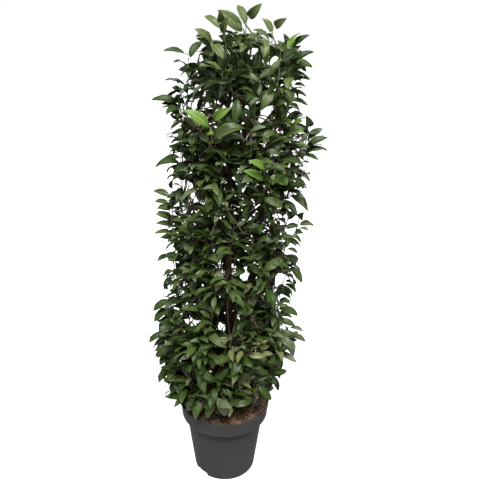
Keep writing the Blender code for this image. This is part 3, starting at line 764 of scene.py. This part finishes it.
# The fresh shoots that show behind the crown, by bearing in degrees and height
FRESH_SHOOTS = ((62, 1.10), (140, 1.05), (100, 0.90))
FRESH_NEAR = 0.030
OUTER_SHARE = 0.6  # the share of the crown's reach from which a point counts as near its outside
# Single leaves of another colour, by bearing in degrees and height
ODD_LEAVES = {
    "yellowed": (
        (-77, 0.521), (-68, 0.412), (-57, 0.484), (-30, 0.489), (-83, 0.372), (-76, 0.310),
        (-50, 0.350), (-56, 0.672), (70, 0.460)),
    "tan": ((-77, 0.634), (130, 0.540)),
}
ODD_NEAR = 0.024


def beside(point, bearing, height):
    """How far a point near the crown's outside is from a bearing and a height."""
    out = hypot(point.x, point.y)
    if out < OUTER_SHARE * reach_at(atan2(point.y, point.x), point.z):
        return 1.0
    return (around(radians(bearing)) * out + UP * height - point).length


def shade_of(tip, dice):
    """The shade of a whole shoot, from where its tip stands in the crown."""
    if any(beside(tip, *place) < FRESH_NEAR for place in FRESH_SHOOTS):
        return "fresh"
    chance = dice.random()
    # towards the top the shoots are paler: partly young growth, partly painted light
    top = smooth_step(1.225, 1.325, tip.z)
    low = smooth_step(0.75, 0.50, tip.z) * smooth_step(0.28, 0.38, tip.z)
    return next(shade for shade, middle, lower, upper in SHADE_SHARES
                if chance < mix(mix(middle, lower, low), upper, top))


def leaf_shade(shade, share, root, dice):
    """A leaf's own shade: its shoot's, but older low on a fresh one, and now and then another."""
    for kind, places in ODD_LEAVES.items():
        if any(beside(root, *place) < ODD_NEAR for place in places):
            return kind
    if shade == "fresh" and share < FRESH_TIPS:
        return "light" if root.z > YOUNG_FROM else "mid"
    if dice.random() < ODD_SHARE:
        change_at, below, above = ODD_SHADES
        return dice.choice(below if root.z < change_at else above)
    return shade


# ---- materials

def feed(tree, node, inputs):
    """Sets a node's inputs, each to a plain value or from another node's output."""
    for name, value in inputs.items():
        if isinstance(value, bpy.types.NodeSocket):
            tree.links.new(value, node.inputs[name])
        else:
            node.inputs[name].default_value = value
    return node


def new_node(tree, kind, inputs, output):
    """The output of a new node with its inputs fed."""
    return feed(tree, tree.nodes.new(f"ShaderNode{kind}"), inputs).outputs[output]


def new_material(name, colour, roughness, specular=0.5):
    made = bpy.data.materials.new(name)
    made.use_nodes = True
    tree = made.node_tree
    shader = feed(tree, tree.nodes["Principled BSDF"], {
        "Base Color": (*colour, 1.0), "Roughness": roughness, "Specular IOR Level": specular})
    return made, tree, shader


def noise_node(tree, scale, detail=3.0, stretch=(1.0, 1.0, 1.0)):
    """A noise in the object's own metres, stretched along an axis if asked."""
    place = new_node(tree, "TexCoord", {}, "Object")
    place = new_node(tree, "Mapping", {"Vector": place, "Scale": stretch}, "Vector")
    return new_node(tree, "TexNoise", {"Vector": place, "Scale": scale, "Detail": detail}, "Fac")


def ranged(tree, value, low, high):
    """A noise brought into a range, for a roughness."""
    return new_node(tree, "MapRange", {
        "Value": value, "From Min": 0.3, "From Max": 0.7, "To Min": low, "To Max": high}, "Result")


def ramp(tree, value, stops):
    """A noise turned into a colour between stops of (position, colour)."""
    node = feed(tree, tree.nodes.new("ShaderNodeValToRGB"), {"Fac": value})
    elements = node.color_ramp.elements
    while len(elements) < len(stops):
        elements.new(0.5)
    for element, (position, colour) in zip(elements, stops):
        element.position = position
        element.color = (*colour, 1.0)
    return node.outputs["Color"]


def bumped(tree, height, strength, distance):
    """A surface's direction, roughened by a noise."""
    return new_node(tree, "Bump", {
        "Height": height, "Strength": strength, "Distance": distance}, "Normal")


def leaf_materials(shade):
    """Glossy above, duller and paler below, with a fine puckered surface."""
    made = []
    for side, colour, roughness in zip(("top", "rib", "under"), SHADES[shade], (0.42, 0.48, 0.62)):
        finish, tree, shader = new_material(f"leaf_{shade}_{side}", colour, roughness, 0.25)
        feed(tree, shader, {
            "Roughness": ranged(tree, noise_node(tree, 90), roughness - 0.05, roughness + 0.12),
            "Normal": bumped(tree, noise_node(tree, 380), 0.25, 0.0006)})
        made.append(finish)
    return made


def bark_material(name, dark, pale, scale):
    """Two browns, or two greens, in long streaks."""
    finish, tree, shader = new_material(name, dark, 0.7, 0.35)
    grain = noise_node(tree, scale, 6.0, (1.0, 1.0, 0.22))
    feed(tree, shader, {
        "Base Color": ramp(tree, grain, ((0.38, dark), (0.66, pale))),
        "Roughness": ranged(tree, grain, 0.58, 0.82),
        "Normal": bumped(tree, grain, 0.6, 0.0012)})
    return finish


def plain_material(name, colour, roughness, scale=300, specular=0.5):
    """One plain colour, with its roughness and surface broken up by a noise."""
    finish, tree, shader = new_material(name, colour, roughness, specular)
    grain = noise_node(tree, scale)
    feed(tree, shader, {
        "Roughness": ranged(tree, grain, roughness - 0.08, roughness + 0.08),
        "Normal": bumped(tree, grain, 0.4, 0.0008)})
    return finish


def pot_material():
    """Recycled grey plastic: fine moulded grain, with a little dust and wear."""
    finish, tree, shader = new_material("pot_plastic_grey", (0.038, 0.037, 0.036), 0.6, 0.08)
    stops = ((0.32, (0.036, 0.0352, 0.0346)), (0.70, (0.042, 0.0410, 0.0402)))
    feed(tree, shader, {
        "Base Color": ramp(tree, noise_node(tree, 9, 5.0), stops),
        "Roughness": ranged(tree, noise_node(tree, 60, 4.0), 0.50, 0.64),
        "Normal": bumped(tree, noise_node(tree, 1400, 2.0), 0.10, 0.0003)})
    return finish


def soil_material():
    """Peat: nearly black in its hollows, which is painted shade, with pale grains."""
    finish, tree, shader = new_material("peat", (0.075, 0.048, 0.027), 0.95, 0.2)
    grain = noise_node(tree, 210, 6.0)
    # One noise makes both colour and bumps, so the hollows take the darkest stop: painted shade.
    stops = ((0.30, (0.024, 0.014, 0.008)), (0.50, (0.100, 0.060, 0.034)),
             (0.72, (0.305, 0.205, 0.125)))
    feed(tree, shader, {
        "Base Color": ramp(tree, grain, stops),
        "Roughness": ranged(tree, grain, 0.85, 1.0),
        "Normal": bumped(tree, grain, 0.9, 0.0025)})
    return finish


# ---- the pot and its soil

def arc(centre, radius, start, end, points):
    angles = [radians(mix(start, end, i / (points - 1))) for i in range(points)]
    return [(centre[0] + radius * cos(a), centre[1] + radius * sin(a)) for a in angles]


def object_of(shape, name):
    """A finished bmesh as an object."""
    mesh = bpy.data.meshes.new(name)
    shape.to_mesh(mesh)
    shape.free()
    return linked(name, mesh)


def arrays_of(shape):
    """A finished bmesh as arrays of points and faces."""
    points = np.array([list(vert.co) for vert in shape.verts])
    faces = [[vert.index for vert in face.verts] for face in shape.faces]
    shape.free()
    return points, faces


def lathe(name, profile, steps, finish):
    """A closed solid of revolution from a profile that starts and ends on the axis."""
    shape = bmesh.new()
    line = [shape.verts.new((radius, 0.0, height)) for radius, height in profile]
    edges = [shape.edges.new(pair) for pair in zip(line, line[1:])]
    bmesh.ops.spin(shape, geom=line + edges, cent=(0, 0, 0), axis=(0, 0, 1), angle=2 * pi,
                   steps=steps, use_merge=True)
    bmesh.ops.remove_doubles(shape, verts=shape.verts, dist=1e-6)
    bmesh.ops.recalc_face_normals(shape, faces=shape.faces)
    made = object_of(shape, name)
    made.data.materials.append(finish)
    return made


def notch_cutter(bearing):
    """A rounded block across the foot's edge."""
    shape = bmesh.new()
    bmesh.ops.create_cube(shape, size=1.0)
    size = (2 * NOTCH_DEPTH, NOTCH_WIDTH, 2 * NOTCH_HEIGHT)
    bmesh.ops.scale(shape, vec=size, verts=shape.verts)
    inward = [edge for edge in shape.edges
              if abs((edge.verts[0].co - edge.verts[1].co).x) > NOTCH_DEPTH]
    bmesh.ops.bevel(shape, geom=inward, offset=NOTCH_ROUND, segments=4, affect="EDGES", profile=0.5)
    place = Matrix.Rotation(bearing, 4, "Z") @ Matrix.Translation((FOOT_RADIUS, 0, 0))
    bmesh.ops.transform(shape, matrix=place, verts=shape.verts)
    return object_of(shape, "notch_cutter")


def build_pot():
    collar_foot = POT_HEIGHT - COLLAR_HEIGHT
    step = collar_foot - STEP_RISE
    lip_height = POT_HEIGHT - LIP_ROUND
    round_ = COLLAR_FOOT_ROUND
    inside, outside_rim = FOOT_RADIUS - WALL, RIM_RADIUS - LIP_OUTSIDE[0]
    profile = [(0.0, FLOOR), (inside - FLOOR_FILLET, FLOOR), (inside, FLOOR + FLOOR_FILLET)]
    profile += [(STEP_RADIUS - WALL, step), (COLLAR_FOOT_RADIUS - WALL, collar_foot + WALL)]
    profile += [(RIM_RADIUS - 2 * LIP_ROUND, lip_height - LIP_INSIDE)]
    profile += arc((RIM_RADIUS - LIP_ROUND, lip_height), LIP_ROUND, 180, -20, 12)
    profile += [(outside_rim, lip_height - LIP_OUTSIDE[1])]
    profile += arc((COLLAR_FOOT_RADIUS - round_, collar_foot + round_), round_, 5, -80, 7)
    profile += [(STEP_RADIUS + STEP_ROUND, collar_foot - STEP_SLOPE)]
    profile += arc((STEP_RADIUS + STEP_ROUND, step - STEP_ROUND), STEP_ROUND, 100, 180, 4)
    profile += arc((FOOT_RADIUS - FOOT_ROUND, FOOT_ROUND), FOOT_ROUND, 5, -90, 9)
    profile += [(0.0, 0.0)]
    pot = lathe("nursery_pot", profile, POT_STEPS, pot_material())
    for i in range(2):
        cutter = notch_cutter(NOTCH_BEARING + i * pi)
        cut = pot.modifiers.new("Notch", "BOOLEAN")
        cut.operation = "DIFFERENCE"
        cut.object = cutter
        with bpy.context.temp_override(object=pot, active_object=pot, selected_objects=[pot]):
            bpy.ops.object.modifier_apply(modifier=cut.name)
        bpy.data.objects.remove(cutter)
    pot.data.shade_smooth()
    pot.data.set_sharp_from_angle(angle=radians(38))
    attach(pot, "root")
    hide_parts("pot")


def inner_radius(height):
    """The collar's inside, where the soil meets it."""
    collar_foot = POT_HEIGHT - COLLAR_HEIGHT
    slope = (RIM_RADIUS - COLLAR_FOOT_RADIUS) / COLLAR_HEIGHT
    return COLLAR_FOOT_RADIUS - WALL - SOIL_COLLAR_GAPS[1] + slope * (height - collar_foot)


def soil_height(x, y):
    """The soil's lumpy top, a little higher towards the trunk."""
    radius = hypot(x, y)
    past = radius - SOIL_SHOULDER_RADIUS
    if past < 0:
        fall = (1 - SOIL_SHOULDER_RISE) * (radius / SOIL_SHOULDER_RADIUS) ** 2
    else:
        share = past / (inner_radius(SOIL_EDGE) - SOIL_SHOULDER_RADIUS)
        fall = mix(1 - SOIL_SHOULDER_RISE, 1.0, share)
    lumps = noise.fractal(Vector((x, y, 0.3)) * SOIL_LUMP_SCALE, 0.8, 2.1, 5)
    return mix(SOIL_CROWN, SOIL_EDGE, fall) + SOIL_LUMP * min(max(lumps, -1.0), 1.0)


def build_soil():
    collar_foot = POT_HEIGHT - COLLAR_HEIGHT
    edge = inner_radius(SOIL_EDGE)
    foot = FOOT_RADIUS - WALL - FLOOR_FILLET - SOIL_WALL_GAP
    profile = [(edge * i / SOIL_RINGS, SOIL_EDGE) for i in range(SOIL_RINGS + 1)]
    profile += [(COLLAR_FOOT_RADIUS - WALL - SOIL_COLLAR_GAPS[0], collar_foot + WALL + SOIL_GAP)]
    profile += [(STEP_RADIUS - WALL - SOIL_WALL_GAP, collar_foot - STEP_RISE + SOIL_GAP)]
    profile += [(foot, FLOOR + SOIL_GAP), (0.0, FLOOR + SOIL_GAP)]
    soil = lathe("potting_soil", profile, SOIL_STEPS, soil_material())
    for vert in soil.data.vertices:
        if vert.co.z > SOIL_EDGE - SOIL_GAP:
            vert.co.z = soil_height(vert.co.x, vert.co.y)
    soil.data.shade_smooth()
    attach(soil, "root")
    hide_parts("soil")


def on_soil(bearing, radius):
    x, y = radius * cos(bearing), radius * sin(bearing)
    return Vector((x, y, soil_height(x, y)))


def anywhere(dice, inset):
    """A place on the soil, clear of the trunk and so far from the collar."""
    bearing = dice.uniform(0, 2 * pi)
    radius = sqrt(dice.uniform(0.03, 1.0)) * (inner_radius(SOIL_EDGE) - inset)
    return on_soil(bearing, radius)


def chip_shape(dice, size):
    """A rough chip of eight corners, lying nearly flat."""
    shape = bmesh.new()
    bmesh.ops.create_cube(shape, size=1.0)
    for vert in shape.verts:
        taper = dice.uniform(0.55, 1.0)
        x, y, z = vert.co
        vert.co = (x * size[0], y * size[1] * taper, z * size[2] * taper)
    turn = Matrix.Rotation(dice.uniform(0, 2 * pi), 4, "Z")
    pitch = Matrix.Rotation(spread(dice, 0.6), 4, "Y")
    roll = Matrix.Rotation(spread(dice, 0.5), 4, "X")
    turn @= pitch @ roll
    for vert in shape.verts:
        vert.co = turn @ vert.co
    return arrays_of(shape)


def crumb_shape(dice):
    shape = bmesh.new()
    bmesh.ops.create_icosphere(shape, subdivisions=1, radius=1.0)
    for vert in shape.verts:
        vert.co *= dice.uniform(0.65, 1.15)
    return arrays_of(shape)


def fibre_shape(dice, in_tuft):
    """A thin fibre that lies on the soil or stands a little off it."""
    if in_tuft:
        bearing = radians(TUFT_BEARING + spread(dice, 24))
        place = on_soil(bearing, dice.uniform(0.098, 0.122))
    else:
        place = anywhere(dice, LITTER_INSETS[2])
    length = dice.uniform(0.008, 0.026)
    run = around(dice.uniform(0, 2 * pi)) * length
    if (place + run).xy.length > inner_radius(SOIL_EDGE) - LITTER_INSETS[0]:
        run = -run
    start, far = place + UP * 0.0012, place + run
    end = on_soil(atan2(far.y, far.x), far.xy.length)
    end += UP * dice.uniform(0.001, 0.004)
    knee = start.lerp(end, 0.5) + UP * dice.uniform(0.001, 0.006)
    path = bezier(start, knee, end, FIBRE_POINTS)
    return tube(path, [FIBRE_RADIUS] * len(path), 3)


def build_litter():
    """Crumbs of peat, chips of bark and loose fibres on the soil."""
    dice = random.Random(SEED + 1)
    finishes = [plain_material(f"soil_bit_{i}", colour, 0.88, 400, 0.25)
                for i, colour in enumerate(BROWNS)]
    slots = range(len(BROWNS))
    crumbs, chips, fibres = Heap(), Heap(), Heap()
    shapes = [crumb_shape(dice) for _ in range(CRUMB_SHAPES)]
    for _ in range(CRUMBS):
        points, faces = dice.choice(shapes)
        size = dice.uniform(0.0009, 0.0030)
        scale = np.array([size * dice.uniform(0.8, 1.5), size, size * 0.8])
        place = anywhere(dice, LITTER_INSETS[0]) + UP * size * 0.3
        slot = dice.choices(slots, CRUMB_WEIGHTS)[0]
        crumbs.add_plain(points * scale + np.array(place), faces, slot)
    for _ in range(CHIPS):
        length, width = dice.uniform(0.004, 0.013), dice.uniform(0.002, 0.005)
        points, faces = chip_shape(dice, (length, width, CHIP_THICKNESS))
        place = anywhere(dice, LITTER_INSETS[1]) + UP * CHIP_THICKNESS
        slot = dice.choices(slots, CHIP_WEIGHTS)[0]
        chips.add_plain(points + np.array(place), faces, slot)
    for i in range(FIBRES):
        in_tuft = i % 3 == 0
        points, faces = fibre_shape(dice, in_tuft)
        slot = dice.choices(slots[2:], (1, 2 if in_tuft else 0.8))[0]
        fibres.add_plain(points, faces, slot)
    for name, heap in (("soil_crumbs", crumbs), ("bark_chips", chips), ("soil_fibres", fibres)):
        piece = heap.make(name, finishes, smooth=name == "soil_fibres")
        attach(piece, "root")


# ---- the plant

def limb(kind, path, radii):
    """A tube with bark on it, in long, broken ridges."""
    sides, strength, grain = BARK[kind]

    def relief(place, side, radius):
        across = radius * grain
        sample = Vector((side[0] * across, side[1] * across, place[2] * grain * BARK_STRETCH))
        return strength * radius * noise.fractal(sample, 0.7, 2.2, 4)

    return tube(path, radii, sides, relief)


def build_limbs(lines, stems):
    bark = bark_material("bark_brown", (0.038, 0.020, 0.008), (0.150, 0.090, 0.044), 260)
    shares = [(i / TRUNK_RINGS) ** TRUNK_RING_POWER for i in range(TRUNK_RINGS + 1)]
    heights = [mix(SOIL_CROWN - TRUNK_SUNK, TRUNK_TOP, share) for share in shares]
    radii = [trunk_radius(height) for height in heights]
    trunk = Heap()
    trunk.add_plain(*limb("trunk", map(trunk_point, heights), radii))
    piece = trunk.make("trunk_bark", [bark])
    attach(piece, "root")
    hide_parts("trunk")

    boughs = Heap()
    for path in lines.values():
        radii = tapered(BOUGH_RADIUS, BOUGH_TIP_RADIUS, len(path))
        boughs.add_plain(*limb("bough", path, radii))
    for stem in stems:
        leader = stem is stems[-1]
        radii = tapered(STEM_RADIUS, LEADER_TIP_RADIUS if leader else STEM_TIP_RADIUS, len(stem))
        boughs.add_plain(*limb("stem", stem, radii), int(leader))
    leader_bark = bark_material("bark_leader", (0.075, 0.085, 0.035), (0.130, 0.145, 0.070), 260)
    piece = boughs.make("boughs_bark", [bark, leader_bark])
    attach(piece, "root")
    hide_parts(*[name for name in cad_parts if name.startswith("bough")])


class Foliage:
    """The twigs, shoots, leaf stalks and leaves, each kind gathered for joining."""

    def __init__(self):
        dice = random.Random(SEED + 2)
        self.shapes = [leaf_shape(dice) for _ in range(LEAF_SHAPES)]
        self.twigs, self.young, self.stalks = Heap(), Heap(), Heap()
        self.leaves = {shade: Heap() for shade in SHADES}

    def add_leaf(self, kind, shape, foot, root, matrix):
        points, faces, slots = shape
        self.leaves[kind].add(points @ np.array(matrix).T + np.array(root), faces, slots)
        self.stalks.add_plain(*tube([foot, root], STALK_RADII, STALK_SIDES))

    def add_shoot(self, path, radii, dice):
        green_from = 1.12 + spread(dice, 0.12)
        shoot = tube(path, tapered(*radii, len(path)), SHOOT_SIDES)
        self.young.add_plain(*shoot, int(path[-1].z > green_from))

    def leaf_up(self, path, slack, dice, until=1.0):
        """Leaves along a shoot, wherever one is free to stand, and the share of the last."""
        shade = shade_of(path[-1], dice)
        clear = dice.uniform(*HANG_SHIFT)
        last = 0.0
        for foot, root, matrix, share in leaf_frames(path, dice):
            shape = dice.choice(self.shapes)
            own = leaf_shade(shade, share, root, dice)
            if share > until or outside(root):
                continue
            for size in (1.0, LEAF_SHRUNK):
                tip, middle = (root + matrix @ Vector(shape[0][i]) * size for i in (-1, MIDDLE))
                past = outside(tip, slack, clear) or outside(middle, slack, clear)
                if not past and not in_opening(root, middle, tip):
                    self.add_leaf(own, shape, foot, root, matrix * size)
                    last = share
                    break
        return last

    def grow_mass(self, name, space, stem):
        """One mass in its space, and the points of its twigs."""
        dice = random.Random(f"{name} {SEED} summer")
        lines = list(mass_twigs(space, stem, dice))
        for path in rising_shoots(space, lines, dice):
            slack = dice.uniform(*OUTLINE_SLACK) + (TOP_SLACK if space.whole else 0.0)
            last = self.leaf_up(path, slack, dice)
            if last:
                self.add_shoot(shortened(path, last), SHOOT_RADII, dice)
        if space.whole:
            self.leaf_up(stem, TOP_SLACK, dice)
        for twig in lines:
            last = 1.0
            if space.whole:
                last = max(self.leaf_up(twig, TOP_SLACK, dice), TOP_TWIG_LEAST)
            radii = tapered(TWIG_RADIUS, TWIG_TIP_RADIUS, len(twig))
            branch = tube(shortened(twig, last), radii, TWIG_SIDES)
            self.twigs.add_plain(*branch, int(space.whole))
        return twig_points(lines)

    def grow_spray(self, spray, points, shade=None):
        """One of the photograph's sprays, from the nearest of the masses' twigs."""
        across, down, behind, gap, leaves = spray
        dice = random.Random(f"spray {across} {down}")
        path = rising_path(points, seen_at(across, down, behind), SHOOT_RISE[0])
        self.leaf_up(path, 0.0, dice, SPRAY_BARE_FROM)
        self.add_shoot(path, SPRAY_RADII, dice)
        shade = shade or shade_of(path[-1], dice)
        frames = spray_frames(path, gap, behind, leaves, self.shapes, dice)
        for foot, root, matrix, shape in frames:
            kind = leaf_shade(shade, 1.0, root, dice)
            self.add_leaf(kind, shape, foot, root, matrix)

    def make(self):
        bark = plain_material("twig_bark", (0.046, 0.029, 0.012), 0.65)
        brown = plain_material("shoot_brown", (0.052, 0.038, 0.020), 0.6)
        green = plain_material("shoot_green", (0.110, 0.155, 0.055), 0.5)
        red = plain_material("stalk_red", (0.090, 0.075, 0.030), 0.5)
        pieces = [
            self.twigs.make("twigs", [bark, green]),
            self.young.make("young_shoots", [brown, green]),
            self.stalks.make("leaf_stalks", [red], sharp=0),
        ]
        for shade, heap in self.leaves.items():
            pieces.append(heap.make(f"leaves_{shade}", leaf_materials(shade)))
        masses = [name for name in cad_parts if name.startswith("foliage")]
        for piece in pieces:
            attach(piece, "root")
            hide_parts(*masses)


def build_plant():
    dice = random.Random(SEED)
    lines, masses = {}, []
    tiers = len(TIER_HEIGHTS) - 2
    for tier in range(tiers):
        for sector in range(SECTORS):
            path = bough_path(tier, sector, dice)
            lines[tier, sector] = path
            space = Space(tier, sector_bearing(tier, sector), pi / SECTORS)
            stem = stem_path(space, path[-1], (path[-1] - path[-2]).normalized())
            masses.append((f"foliage_{tier + 1}_{sector + 1}", space, stem))
    tip = trunk_point(TRUNK_TOP)
    direction = (tip - trunk_point(TRUNK_TOP - LEADER_TIP)).normalized()
    space = Space(tiers, 0.0, pi)
    masses.append(("foliage_top", space, stem_path(space, tip, direction)))
    build_limbs(lines, [stem for name, space, stem in masses])
    foliage = Foliage()
    points = []
    for name, space, stem in masses:
        points += foliage.grow_mass(name, space, stem)
    for spray in SPRAYS:
        foliage.grow_spray(spray, points)
    for spray in FRESH_SPRAYS:
        foliage.grow_spray(spray, points, "fresh")
    foliage.make()


# ---- camera, floor and light

WHITE = (1.0, 1.0, 1.0, 1.0)
FLOOR_COLOUR = (0.40, 0.40, 0.40)
FLOOR_HALF = 60
FLOOR_GLOW = 0.90  # what the camera sees of a floor lit from all round
WORLD_LIGHT = 0.21
WORLD_SEEN = 1.02
# Each light's kind, name, place, the height on the axis that it looks at, size (a sun's is an
# angle) and power
LIGHTS = (
    ("SUN", "sky_panel", (0.0, -1.7, 3.0), 0.0, radians(16), 4.5),
    ("AREA", "key", (-1.1, -1.6, 3.1), 0.7, 1.2, 60),
    ("AREA", "fill", (1.3, -1.5, 2.8), 0.6, 1.2, 34),
    ("AREA", "back", (0.5, 2.2, 2.2), 0.7, 1.6, 46),
)


def add_light(kind, name, place, look_height, size, power):
    data = bpy.data.lights.new(name, kind)
    data.energy = power
    if kind == "SUN":
        data.angle = size
    else:
        data.shape = "DISK"
        data.size = size
    light = linked(name, data)
    light.location = place
    to_plant = Vector((0.0, 0.0, look_height)) - light.location
    light.rotation_euler = to_plant.to_track_quat("-Z", "Y").to_euler()


def by_view(tree, lighting, seen):
    """A strength that is one value as light and another where the camera sees it."""
    camera_ray = new_node(tree, "LightPath", {}, "Is Camera Ray")
    return new_node(
        tree, "MapRange", {"Value": camera_ray, "To Min": lighting, "To Max": seen}, "Result")


def build_camera():
    data = bpy.data.cameras.new("camera")
    data.lens = CAMERA_LENS
    data.sensor_width = SENSOR_WIDTH
    data.shift_x = 0.5 - PICTURE_AXIS / PICTURE_SIZE
    camera = linked("camera", data)
    camera.location = VIEWPOINT
    camera.rotation_euler = (pi / 2 - CAMERA_PITCH, 0.0, 0.0)
    bpy.context.scene.camera = camera
    bpy.context.scene.view_settings.view_transform = "Standard"


def build_floor():
    finish, tree, shader = new_material("floor_white", FLOOR_COLOUR, 0.9, 0.1)
    feed(tree, shader, {
        "Roughness": ranged(tree, noise_node(tree, 3), 0.85, 0.95),
        "Emission Color": WHITE, "Emission Strength": by_view(tree, 0.0, FLOOR_GLOW)})
    mesh = bpy.data.meshes.new("floor")
    corners = [(x * FLOOR_HALF, y * FLOOR_HALF, 0) for x, y in ((-1, -1), (1, -1), (1, 1), (-1, 1))]
    mesh.from_pydata(corners, [], [(0, 1, 2, 3)])
    mesh.materials.append(finish)
    floor = linked("floor", mesh)


def build_light():
    world = bpy.data.worlds.new("world")
    bpy.context.scene.world = world
    world.use_nodes = True
    tree = world.node_tree
    feed(tree, tree.nodes["Background"], {
        "Color": WHITE, "Strength": by_view(tree, WORLD_LIGHT, WORLD_SEEN)})
    for light in LIGHTS:
        add_light(*light)


build_pot()
build_soil()
build_litter()
build_plant()
build_camera()
build_floor()
build_light()
